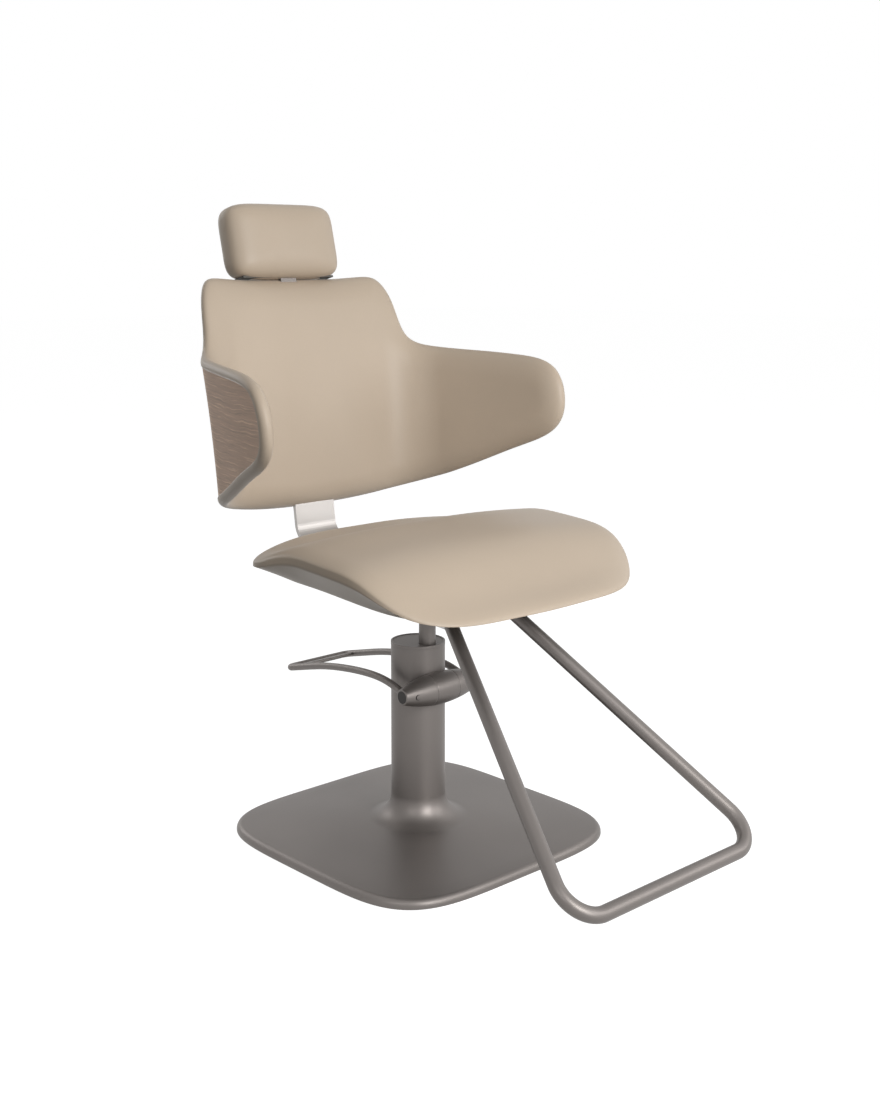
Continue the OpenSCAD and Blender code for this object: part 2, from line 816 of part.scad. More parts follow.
module board_outline(grow) {
    offset_share = board_share + grow / seat_half;
    polygon([for (p = seat_at(offset_share, side_undercut)) [p.x, p.y / cos(seat_tilt)]]);
}

module seat_board() {
    color(board_tone) under_seat() difference() {
        linear_extrude(board_thick) board_outline(0);
        seat_bolt_places() translate([0, 0, -over])
            cylinder(d = seat_bolt_d + fit, h = board_thick + 2 * over);
    }
}

module seat_cushion() {
    turned = [for (p = seat_loop) [p.x, p.y, under_z(p.y) + turn_under_share * side_rise(p.y)]];
    color(leather) difference() {
        skin(concat([for (k = top_rings_shares) seat_top(k)], [turned],
            [for (k = under_rings_shares) seat_under(k, k > roll_share + 0.1 ? under_lift : 0)]));
        under_seat() translate([0, 0, -over])
            linear_extrude(board_thick + gap + over) board_outline(gap);
    }
}

// Hexagon-headed bolt with its head below and its shank pointing up
module bolt(d, len) {
    translate([0, 0, -head_over_h * d]) cylinder(d = head_over_d * d, h = head_over_h * d, $fn = 6);
    cylinder(d = d, h = len);
}

module seat_bolts() {
    color(dark) under_seat() seat_bolt_places() translate([0, 0, -carry_thick])
        bolt(seat_bolt_d, carry_thick + seat_bolt_len);
}

// Footrest: the tube lies in one sloping plane, which is drawn flat. Its lengths are
// rounded so that the straight parts and the bends meet exactly
tenth = 0.1;
function rounded_off(v) = round(v / tenth) * tenth;
rest_rise = leg_top_z - rest_z;
rest_run = rest_reach - leg_top_y;
rest_len = norm([rest_rise, rest_run]);
rest_pitch = atan2(rest_rise, rest_run);
leg_in = rounded_off(atan2(rest_half - leg_top_x, rest_len));
bend_turn = quarter + leg_in;
bend_back = rest_bend * tan(bend_turn / 2);
bar_half = rounded_off(rest_half - bend_back);
leg_len = rounded_off(norm([rest_half - leg_top_x, rest_len]) - bend_back);

// One side of the footrest, drawn in its own plane with the bend's middle as origin
module rest_side(s) {
    mirror([s > 0 ? 0 : 1, 0, 0]) translate([0, -rest_reach, rest_z])
        rotate([rest_pitch, 0, 0]) translate([bar_half, rest_bend, 0]) children();
}

// Line of a leg from the bend up to its end under the seat
module leg_line(s) {
    rest_side(s) rotate(leg_in) translate([rest_bend, 0, 0]) rotate([-quarter, 0, 0])
        children();
}

// Places round the tube's middle line, each with the direction of the line there
rest_steps = 9;
rest_sides = 24;
function rest_stop(s, a) = [[s * (bar_half + rest_bend * cos(a)), rest_bend * (1 + sin(a))],
    [-sin(a), s * cos(a)]];
rest_left = rest_stop(-1, leg_in);
rest_right = rest_stop(1, leg_in);
rest_stops = concat([[rest_left[0] - leg_len * rest_left[1], rest_left[1]]],
    [for (i = [0:rest_steps]) rest_stop(-1, leg_in - bend_turn * i / rest_steps)],
    [for (i = [0:rest_steps]) rest_stop(1, bend_turn * i / rest_steps - quarter)],
    [[rest_right[0] + leg_len * rest_right[1], rest_right[1]]]);
function rest_ring(q, r) = [for (j = [0:rest_sides - 1]) let(b = 360 * j / rest_sides)
    [q[0].x - q[1].y * r * cos(b), q[0].y + q[1].x * r * cos(b), -r * sin(b)]];

module footrest_tube() {
    r = rest_tube_d / 2;
    color(metal) translate([0, -rest_reach, rest_z]) rotate([rest_pitch, 0, 0])
        skin(concat([for (q = rest_stops) rest_ring(q, r)],
            [for (i = [len(rest_stops) - 1:-1:0]) rest_ring(rest_stops[i], r - rest_wall)]),
            joined = true);
}

// Place of the screw that holds a leg in the clamp, entering from below
module grub_line(s) {
    leg_line(s) translate([0, rest_tube_d / 2, leg_len - grub_down]) rotate([-quarter, 0, 0])
        children();
}

module footrest_clamp() {
    color(metal) difference() {
        under_seat() translate([-clamp_w / 2, -clamp_front, -carry_thick - clamp_h])
            cube([clamp_w, clamp_front - clamp_back, clamp_h]);
        for (s = [-1, 1]) {
            leg_line(s) cylinder(d = rest_tube_d + fit, h = leg_len + fit);
            grub_line(s) cylinder(d = grub_d + fit, h = 2 * grub_len);
        }
        under_seat() clamp_bolt_places() translate([0, 0, -carry_thick - clamp_h - over])
            cylinder(d = clamp_bolt_d + fit, h = clamp_h + 2 * over);
    }
}

module clamp_bolts() {
    color(dark) under_seat() clamp_bolt_places() translate([0, 0, -carry_thick - clamp_h])
        bolt(clamp_bolt_d, clamp_h + carry_thick);
}

module tube_grub_screws() {
    color(dark) for (s = [-1, 1]) grub_line(s) cylinder(d = grub_d, h = grub_len);
}

// Back strap: a flat bar from under the seat up behind the seat's back edge
strap_turn = quarter - strap_lean - seat_tilt;
module in_strap_lean() {
    translate([0, strap_y, strap_ref_z]) rotate([-strap_lean, 0, 0]) children();
}

// Corner of the strap's middle line: on the plate's lower face and on the leaning line
strap_floor = -carry_thick - strap_thick / 2;
function lean_y(z) = strap_y + (z - strap_ref_z) * tan(strap_lean);
strap_meet_z = (seat_z + strap_floor / cos(seat_tilt)
    + seat_slope * (strap_y - strap_ref_z * tan(strap_lean)))
    / (1 - seat_slope * tan(strap_lean));
strap_meet_y = lean_y(strap_meet_z);
strap_cut = strap_bend * tan(strap_turn / 2);
strap_flat = (strap_meet_y - carry_back + strap_reach) / cos(seat_tilt) - strap_cut;
strap_up = (strap_top_z - strap_meet_z) / cos(strap_lean) - strap_cut;

// Side view of the strap: its flat part, its bend and its leaning part
bend_steps = 12;
function strap_arc(r) = [for (i = [0:bend_steps])
    let(a = strap_turn * i / bend_steps) [r * sin(a) - strap_cut, strap_bend - r * cos(a)]];
function strap_end(v) = (strap_cut + strap_up) * [cos(strap_turn), sin(strap_turn)]
    + v * [sin(strap_turn), -cos(strap_turn)];

module strap_side() {
    half = strap_thick / 2;
    inner = strap_arc(strap_bend - half);
    polygon(concat([[-strap_cut - strap_flat, -half]], strap_arc(strap_bend + half),
        [strap_end(half), strap_end(-half)],
        [for (i = [len(inner) - 1:-1:0]) inner[i]], [[-strap_cut - strap_flat, half]]));
}

module back_strap() {
    color(bright) difference() {
        translate([-strap_w / 2, strap_meet_y, strap_meet_z]) rotate([quarter, 0, quarter])
            rotate(seat_tilt) linear_extrude(strap_w) strap_side();
        under_seat() strap_bolt_places() translate([0, 0, -carry_thick - 2 * strap_thick])
            cylinder(d = strap_bolt_d + fit, h = 3 * strap_thick);
        in_strap_lean() back_bolt_places() rotate([quarter, 0, 0])
            cylinder(d = back_bolt_d + fit, h = 2 * strap_thick, center = true);
    }
}

module strap_bolts() {
    color(dark) under_seat() strap_bolt_places() translate([0, 0, -carry_thick - strap_thick])
        bolt(strap_bolt_d, strap_thick + carry_thick);
}

module back_bolt_places() {
    for (s = [-1, 1], z = [back_bolt_a, back_bolt_b]) translate([s * back_bolt_x, 0, z])
        children();
}

module back_plate() {
    color(metal) in_strap_lean() difference() {
        translate([-back_plate_w / 2, strap_thick / 2, back_plate_low])
            cube([back_plate_w, back_plate_thick, back_plate_high - back_plate_low]);
        back_bolt_places() rotate([quarter, 0, 0])
            cylinder(d = back_bolt_d + fit, h = 4 * strap_thick, center = true);
    }
}

module back_bolts() {
    len = strap_thick + back_plate_thick;
    color(dark) in_strap_lean() back_bolt_places() translate([0, -strap_thick / 2, 0])
        rotate([-quarter, 0, 0]) cylinder(d = back_bolt_d, h = len);
}

module shell_studs() {
    color(dark) in_strap_lean() for (s = [-1, 1], q = studs)
        translate([s * stud_x, strap_thick / 2 + back_plate_thick, q[0]])
            rotate([-quarter, 0, 0]) cylinder(d = stud_d, h = q[1]);
}

// Back shell: plan position and heading at a length s round the shell from its middle
function plan_turn(s) = let(a = abs(s)) sign(s) * (180 / PI) * (
    a <= panel_len ? a / panel_r
    : a <= panel_len + turn_len ? panel_len / panel_r + (a - panel_len) / turn_r
    : panel_len / panel_r + turn_len / turn_r + (a - panel_len - turn_len) / arm_r);

function plan_point(s) = let(a = abs(s), t = abs(plan_turn(s)),
        t1 = plan_turn(panel_len), t2 = t1 + turn_deg,
        p1 = panel_r * [sin(t1), cos(t1) - 1],
        p2 = p1 + turn_r * [sin(t2) - sin(t1), cos(t2) - cos(t1)],
        p = a <= panel_len ? panel_r * [sin(t), cos(t) - 1]
            : a <= panel_len + turn_len ? p1 + turn_r * [sin(t) - sin(t1), cos(t) - cos(t1)]
            : p2 + arm_r * [sin(t) - sin(t2), cos(t) - cos(t2)])
    [sign(s) * p.x, back_y + p.y];

function ease(u) = let(v = min(1, max(0, u))) v * v * (3 - 2 * v);

// Point of the back at a length s, a height z and a depth w behind its middle surface
function back_point(s, z, w) = let(p = plan_point(s), t = plan_turn(s), h = z - back_mid_z,
        splay = sign(s) * ease((abs(s) - panel_len) / splay_span) * h * tan(arm_splay))
    [p.x + w * sin(t) + splay,
        p.y + w * cos(t) + h * tan(back_lean) + back_bow * pow(h / bow_span, 2), z];

// Outline of the back, split at the arm's tip into an upper and a lower line
outline = half_curve([for (p = outline_shares) [p.x * wrap_len, back_low + p.y * back_h]],
    outline_steps);
tip_index = search(max([for (p = outline) p.x]), [for (p = outline) p.x])[0];
upper_line = [for (i = [0:tip_index]) outline[i]];
lower_line = [for (i = [len(outline) - 1:-1:tip_index]) outline[i]];
upper_s = length_table(upper_line, 0);
upper_z = length_table(upper_line, 1);
lower_s = length_table(lower_line, 0);
lower_z = length_table(lower_line, 1);
outline_last = len(outline) - 1;

// Ends of a column of the back
function column_top_at(u) = [lookup(u, upper_s), lookup(u, upper_z)];
function column_low_at(u) = [lookup(u, lower_s), lookup(u, lower_z)];

// Distance of a point of the map from the outline
function to_line(p, a, d) = norm(p - a - d * min(1, max(0, (p - a) * d / (d * d))));
function inset(p) = min([for (i = [1:outline_last])
    to_line(p, outline[i - 1], outline[i] - outline[i - 1])]);

// Share of the way from a to b at which a border of some width ends
halvings = 16;
function border_end(a, b, w, low = 0, high = 0.5, n = halvings) = let(mid = (low + high) / 2)
    n == 0 ? high : inset(a + (b - a) * mid) < w ? border_end(a, b, w, mid, high, n - 1)
    : border_end(a, b, w, low, mid, n - 1);

// Share of the way to the arm's tip at which a border's two sides meet
function meeting(w, low = 0.5, high = 1, n = halvings) = let(mid = (low + high) / 2)
    n == 0 ? low : inset((column_top_at(mid) + column_low_at(mid)) / 2) > w
        ? meeting(w, mid, high, n - 1) : meeting(w, low, mid, n - 1);

// Places of the columns from the middle to the tip, for a wood and a recess that end at
// the given shares
function column_shares(wood_end, recess_end) =
    let(even = [for (i = [0:columns]) column_reach * pow(i / columns, column_power)],
        first = wood_end + crowd_shares[0], last = recess_end + close_shares[1])
    concat([for (u = even) if (u < first) u], [for (c = crowd_shares) wood_end + c],
        [for (c = close_shares) recess_end + c], [for (u = even) if (u > last) u]);

// Height of a round edge at a share of its width
function round_edge(x) = sqrt(1 - pow(1 - min(1, max(0, x)), 2));

edge_steps = 3;
front_steps = 9;
face_steps = 4;
// Borders of the columns behind the recess, and the depth that the closed recess keeps
closed_share = 0.46;
closed_depth = 0.2;

// Depth of the leather's back and of its front at a point of the map
function back_face(p) = edge_level + edge_back * round_edge(inset(p) / edge_back);
function front_face(p, thin) = edge_level
    - (back_thick - edge_back + (arm_thick - back_thick) * thin) * round_edge(inset(p) / front_roll);

// Closed section of the leather at a share u: points of the map with their depths
function leather_section(u, recess_end) = let(a = column_top_at(u), b = column_low_at(u),
        open = u < recess_end, long = norm(b - a), thin = ease((a.x - 0.4 * panel_len) / panel_len),
        hi = open ? border_end(a, b, bead_w) : closed_share,
        lo = open ? 1 - border_end(b, a, bead_w) : 1 - closed_share,
        deep = open ? wood_thick + wood_drop + 2 * gap : closed_depth,
        rim_hi = back_face(a + (b - a) * hi), rim_lo = back_face(a + (b - a) * lo))
    concat([for (j = [edge_steps:-1:1]) let(p = a + (b - a) * hi * (1 - cos(quarter * j / edge_steps)))
            [p.x, p.y, back_face(p)]],
        [for (j = [0:front_steps]) let(q = (1 - cos(180 * j / front_steps)) / 2, p = a + (b - a) * q)
            [p.x, p.y, front_face(p, thin) - back_crown * min(1, long / back_h) * 4 * q * (1 - q)]],
        [for (j = [1:edge_steps])
            let(p = b + (a - b) * (1 - lo) * (1 - cos(quarter * j / edge_steps)))
            [p.x, p.y, back_face(p)]],
        [for (j = [0:face_steps]) let(p = a + (b - a) * (lo + (hi - lo) * j / face_steps))
            [p.x, p.y, min(rim_hi, rim_lo) - deep]]);

// Closed section of the wood at a share u
function wood_section(u) = let(a = column_top_at(u), b = column_low_at(u),
        hi = border_end(a, b, bead_w + wood_gap), lo = 1 - border_end(b, a, bead_w + wood_gap),
        outer = back_half - wood_drop, steps = [0:face_steps])
    concat([for (j = steps) let(p = a + (b - a) * (hi + (lo - hi) * j / face_steps))
            [p.x, p.y, outer - wood_thick]],
        [for (j = steps) let(p = a + (b - a) * (lo + (hi - lo) * j / face_steps)) [p.x, p.y, outer]]);

// Sections of one half as rings from tip to tip
function both_halves(half) = let(n = len(half) - 1) [for (i = [n:-1:-n])
    [for (p = half[abs(i)]) back_point((i < 0 ? -1 : 1) * p.x, p.y, p.z)]];

module back_shell() {
    wood_end = meeting(bead_w + wood_gap);
    color(wood) skin(both_halves([for (u = column_shares(wood_end, meeting(bead_w)))
        if (u < wood_end) wood_section(u)]), other = true);
}

module back_cushion() {
    side = back_plate_w / 2 + pocket_side;
    deep = back_half + wood_thick;
    recess_end = meeting(bead_w);
    color(leather) difference() {
        skin(both_halves([for (u = column_shares(meeting(bead_w + wood_gap), recess_end))
            leather_section(u, recess_end)]));
        in_strap_lean() {
            translate([-strap_w / 2 - gap, -strap_thick / 2 - gap, 0])
                cube([strap_w + 2 * gap, strap_thick + 2 * gap, back_plate_high]);
            translate([-side, -strap_thick / 2 - pocket_side, back_plate_low - pocket_side])
                cube([2 * side, deep + strap_thick, back_plate_high - back_plate_low + 2 * pocket_side]);
        }
        in_head_lean() {
            translate([-stem_w / 2 - gap, stem_y - stem_thick / 2 - gap, sleeve_top - over])
                cube([stem_w + 2 * gap, stem_thick + 2 * gap, -sleeve_top]);
            translate([-sleeve_side - gap, stem_y - sleeve_half - pocket_side,
                stem_low - pocket_side])
                cube([2 * sleeve_side + 2 * gap, deep, sleeve_top - stem_low + pocket_side]);
        }
    }
}

// Headrest: drawn on its slide's line, with the pillow's middle as origin
module in_head_lean() {
    translate([0, head_y, head_z]) rotate([-head_lean, 0, 0]) children();
}

sleeve_half = stem_thick / 2 + sleeve_wall;
sleeve_side = stem_w / 2 + 2 * sleeve_w_wall;

module headrest_sleeve() {
    color(metal) in_head_lean() difference() {
        translate([-sleeve_side, stem_y - sleeve_half, sleeve_top - sleeve_len])
            cube([2 * sleeve_side, 2 * sleeve_half, sleeve_len]);
        translate([-stem_w / 2 - fit / 2, stem_y - stem_thick / 2 - fit / 2, sleeve_top - 2 * sleeve_len])
            cube([stem_w + fit, stem_thick + fit, 3 * sleeve_len]);
        sleeve_screw_places() cylinder(d = screw_d + fit, h = 4 * sleeve_half, center = true);
    }
}

module sleeve_screw_places() {
    for (s = [-1, 1], z = [0.2, 0.8])
        translate([s * sleeve_screw_x, stem_y, sleeve_top - z * sleeve_len]) rotate([quarter, 0, 0])
            children();
}

module sleeve_screws() {
    color(dark) in_head_lean() sleeve_screw_places()
        translate([0, 0, -sleeve_half]) cylinder(d = screw_d, h = 2 * sleeve_half);
}

module headrest_stem() {
    color(bright) in_head_lean() translate([-stem_w / 2, stem_y - stem_thick / 2, stem_low])
        cube([stem_w, stem_thick, stem_high - stem_low]);
}

module head_screw_places() {
    for (s = [-1, 1]) translate([s * head_screw_x, head_plate_y, 0]) rotate([-quarter, 0, 0])
        children();
}

head_plate_y = stem_y + stem_thick / 2;

module headrest_plate() {
    color(metal) in_head_lean() difference() {
        translate([-head_plate_w / 2, head_plate_y, -head_plate_h / 2])
            cube([head_plate_w, head_plate_thick, head_plate_h]);
        head_screw_places() cylinder(d = screw_d + fit, h = 3 * head_plate_thick, center = true);
    }
}

module headrest_screws() {
    color(dark) in_head_lean() head_screw_places() cylinder(d = screw_d, h = head_plate_thick);
}

// Dark strip let into the pillow's underside, round the stem
module headrest_base() {
    color(dark) in_head_lean() difference() {
        translate([-head_base_w / 2, -head_base_d / 2, head_base_up - head_h / 2])
            cube([head_base_w, head_base_d, head_base_h]);
        translate([-stem_w / 2 - gap, stem_y - stem_thick / 2 - gap, -head_h])
            cube([stem_w + 2 * gap, stem_thick + 2 * gap, head_h]);
    }
}

// Signed power, which squares a circle's corners
function bulge(v, n) = sign(v) * pow(abs(v), 2 / n);

function head_ring(q) = let(k = pow(max(0.0005, 1 - pow(abs(q), head_round)), 1 / head_round))
    [for (i = [0:head_steps - 1]) let(a = 360 * i / head_steps)
        [head_w / 2 * k * bulge(cos(a), head_square), q * head_thick / 2,
            head_h / 2 * k * bulge(sin(a), head_square)]];

module headrest_cushion() {
    color(leather) in_head_lean() difference() {
        skin([for (q = head_rings_shares) head_ring(q)]);
        translate([-head_plate_w / 2 - gap, stem_y - stem_thick / 2 - gap, -head_plate_h / 2 - gap])
            cube([head_plate_w + 2 * gap, stem_thick + head_plate_thick + 2 * gap,
                head_plate_h + 2 * gap]);
        translate([-stem_w / 2 - gap, stem_y - stem_thick / 2 - gap, -head_h])
            cube([stem_w + 2 * gap, stem_thick + 2 * gap, head_h]);
        translate([-head_base_w / 2 - gap, -head_base_d / 2 - gap, -head_h])
            cube([head_base_w + 2 * gap, head_base_d + 2 * gap,
                head_h / 2 + head_base_up + head_base_h + gap]);
    }
}

// Lever: its shaft, hubs and loop, all turning about the shaft
lever_long = pedal_back + lever_forward;
module cross_shaft() {
    color(bright) difference() {
        on_shaft(-shaft_half, 2 * shaft_half, shaft_d / 2);
        for (s = [-1, 1]) hub_pin_at(s) cylinder(d = hub_pin_d, h = spindle_d);
        translate([plunger_x - crank_w / 2, -lever_forward - key_w / 2, lever_z + shaft_d / 2 - key_w])
            cube([crank_w, key_w, key_w]);
    }
}

// The pin enters each hub from the front
module hub_pin_at(s) {
    translate([s * hub_pin_x, -lever_forward, lever_z]) rotate([quarter, 0, 0]) children();
}

module lever_hubs() {
    color(metal) for (s = [-1, 1]) difference() {
        if (s > 0) spindle(barrel_half + gap, spindle_half);
        else spindle(-spindle_half, -barrel_half - gap);
        on_shaft(s > 0 ? 0 : -shaft_half - fit, shaft_half + fit, shaft_d / 2 + fit / 2);
        hub_pin_at(s) cylinder(d = hub_pin_d + fit, h = spindle_d);
        arm_line(s) cylinder(d = lever_rod_d + fit, h = spindle_d);
    }
}

module hub_pins() {
    color(dark) for (s = [-1, 1]) hub_pin_at(s) translate([0, 0, fit])
        cylinder(d = hub_pin_d - fit, h = spindle_r(hub_pin_x) - 2 * fit);
}

// Points of an arm's middle line, from inside the hub to the pedal's corner
arm_start = shaft_d / 2 + fit;
function arm_points(s) = let(way = lever_long - arm_start)
    concat([for (q = arch_shares) [s * (arm_x + (pedal_x - arm_x) * q.x),
            -lever_forward + arm_start + way * q.x, lever_z + lever_long * q.y]],
        [[s * pedal_x, pedal_back, pedal_z]]);

// Sweep of a round rod along points, each ring square to the way between its neighbours
rod_sides = 16;
span_steps = 5;
function spline_path(g, n) = let(m = len(g), e = concat([2 * g[0] - g[1]], g,
        [2 * g[m - 1] - g[m - 2]]))
    concat([for (i = [0:m - 2]) for (k = [0:n - 1])
            smooth(e[i], e[i + 1], e[i + 2], e[i + 3], k / n)], [g[m - 1]]);

module rod(path, d) {
    n = len(path);
    rings = [for (i = [0:n - 1])
        let(t = path[min(n - 1, i + 1)] - path[max(0, i - 1)], f = t / norm(t),
            side0 = cross(f, [0, 0, 1]), side = side0 / norm(side0), up = cross(side, f))
        [for (j = [0:rod_sides - 1]) let(a = -360 * j / rod_sides)
            path[i] + d / 2 * (cos(a) * side + sin(a) * up)]];
    skin([for (i = [n - 1:-1:0]) rings[i]]);
}

// Line on which an arm leaves its hub
module arm_line(s) {
    a = arm_points(s)[0];
    d = arm_points(s)[1] - a;
    translate(a) rotate([-quarter + atan2(d.z, d.y), 0, 0]) translate([0, 0, -fit]) children();
}

// The whole loop as one path: one arm, the rounded corners and the other arm
function corner(a, b, c, r, n) = let(u = (a - b) / norm(a - b), v = (c - b) / norm(c - b))
    [for (k = [0:n]) let(q = k / n) b + r * (u * (1 - q) * (1 - q) + v * q * q)];

module lever_loop() {
    left = spline_path(arm_points(1), span_steps);
    right = spline_path(arm_points(-1), span_steps);
    m = len(left);
    back = [for (i = [m - 2:-1:0]) right[i]];
    path = concat([for (i = [0:m - 2]) left[i]],
        corner(left[m - 2], left[m - 1], right[m - 1], 2 * lever_round, span_steps),
        corner(left[m - 1], right[m - 1], right[m - 2], 2 * lever_round, span_steps), back);
    color(metal) rod(path, lever_rod_d);
}

module pedal_pad() {
    w = 2 * pedal_x - 2 * lever_round - 2 * lever_rod_d;
    color(dark) translate([-w / 2, pedal_back - pedal_pad_w - lever_rod_d / 2 - gap,
        pedal_z + over])
        cube([w, pedal_pad_w, pedal_pad_h]);
}

module pump_crank() {
    reach = lever_forward + plunger_y;
    color(metal) difference() {
        union() {
            on_shaft(plunger_x - crank_w / 2, crank_w, crank_hub_r);
            translate([plunger_x - crank_w / 2, -lever_forward, lever_z - crank_tip_r])
                cube([crank_w, reach, 2 * crank_tip_r]);
            translate([plunger_x - crank_w / 2, plunger_y, lever_z]) rotate([0, quarter, 0])
                cylinder(r = crank_tip_r, h = crank_w);
        }
        on_shaft(0, 2 * plunger_x, shaft_d / 2 + fit / 2);
        translate([plunger_x - crank_w, -lever_forward - key_w / 2, lever_z])
            cube([2 * crank_w, key_w, shaft_d / 2 + key_w / 2]);
    }
}

module crank_key() {
    color(dark) translate([plunger_x - crank_w / 2, -lever_forward - key_w / 2 + fit / 2,
        lever_z + shaft_d / 2 - key_w])
        cube([crank_w, key_w - fit, 1.5 * key_w - fit]);
}

plunger_top = lever_z - crank_tip_r - gap;

module pump_plunger() {
    color(bright) translate([plunger_x, plunger_y, 0]) {
        translate([0, 0, plunger_low]) cylinder(d = plunger_d, h = plunger_top - plunger_low);
        translate([0, 0, plunger_top - plunger_cap_h])
            cylinder(d = plunger_cap_d, h = plunger_cap_h);
    }
}

module return_spring() {
    low = barrel_top + wire_d / 2;
    high = plunger_top - plunger_cap_h - wire_d / 2;
    n = spring_turns * turn_steps;
    path = [for (i = [0:n]) let(a = 360 * i / turn_steps)
        [plunger_x + spring_r * cos(a), plunger_y + spring_r * sin(a),
            low + gap + (high - low - 2 * gap) * i / n]];
    rings = [for (i = [0:n]) let(a = 360 * i / turn_steps)
        [for (j = [0:wire_sides - 1]) let(b = 360 * j / wire_sides)
            path[i] + wire_d / 2 * [cos(b) * cos(a), cos(b) * sin(a), sin(b)]]];
    color(bright) skin(rings);
}

floor_pad();
base_plate();
base_cover();
pump_bolts();
pump_block();
pump_cylinder();
oil_tank();
tank_cap();
plunger_barrel();
release_valve();
ram_gland();
wiper_seal();
column_cover();
column_cap();
lever_housing();
housing_screws();
shaft_bushes();
piston_head();
piston_seal();
thrust_washer();
ram();
seat_hub();
hub_screws();
seat_plate();
seat_board();
seat_cushion();
seat_bolts();
footrest_tube();
footrest_clamp();
clamp_bolts();
tube_grub_screws();
back_strap();
strap_bolts();
back_plate();
back_bolts();
shell_studs();
back_shell();
back_cushion();
headrest_sleeve();
sleeve_screws();
headrest_stem();
headrest_plate();
headrest_screws();
headrest_base();
headrest_cushion();
cross_shaft();
lever_hubs();
lever_loop();
pedal_pad();
hub_pins();
pump_crank();
crank_key();
pump_plunger();
return_spring();
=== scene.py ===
"""Looks of a threading chair: leather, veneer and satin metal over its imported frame.

Lengths are in millimetres unless a name or comment says otherwise.
"""
import json
import logging
import math
from collections.abc import Callable
from dataclasses import dataclass, field
from enum import Enum

import bmesh
import bpy
import numpy as np
from mathutils import Matrix, Vector


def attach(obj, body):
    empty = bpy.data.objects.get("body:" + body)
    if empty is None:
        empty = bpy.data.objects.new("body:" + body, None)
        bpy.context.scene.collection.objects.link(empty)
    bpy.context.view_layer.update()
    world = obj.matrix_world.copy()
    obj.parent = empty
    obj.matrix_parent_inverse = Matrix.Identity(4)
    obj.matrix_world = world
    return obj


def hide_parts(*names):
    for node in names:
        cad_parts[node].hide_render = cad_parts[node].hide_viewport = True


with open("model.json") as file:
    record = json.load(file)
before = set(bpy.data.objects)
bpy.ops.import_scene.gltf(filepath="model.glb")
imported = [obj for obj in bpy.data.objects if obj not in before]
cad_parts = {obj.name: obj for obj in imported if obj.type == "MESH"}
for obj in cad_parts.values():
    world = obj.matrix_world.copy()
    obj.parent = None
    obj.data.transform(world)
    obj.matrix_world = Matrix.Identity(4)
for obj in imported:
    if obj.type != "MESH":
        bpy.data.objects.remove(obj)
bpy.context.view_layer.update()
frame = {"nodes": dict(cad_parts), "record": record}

log = logging.getLogger("threading_chair")
MM = 0.001
# Radius in millimetres below which a turned profile starts on its axis
AXIS = 0.01
# Keeps a mirrored point on its own side of the middle
TINY = 1e-9
# Stands in for the square of a length that is nothing
LEAST_DIVISOR = 1e-12
WHITE = (1.0, 1.0, 1.0, 1.0)
Rgb = tuple[float, float, float]


class Body(Enum):
    """The bodies of the chair that pieces ride on."""

    BASE = "base"
    SEAT = "seat"
    HEADREST = "headrest"
    LEVER = "lever"


class Slot(Enum):
    """The material slots of the record that new pieces take their finish from."""

    METAL = "satin_metal"
    BRIGHT = "bright_steel"
    HIDE = "hide"
    VENEER = "veneer"
    DARK = "dark_steel"


# Finishes


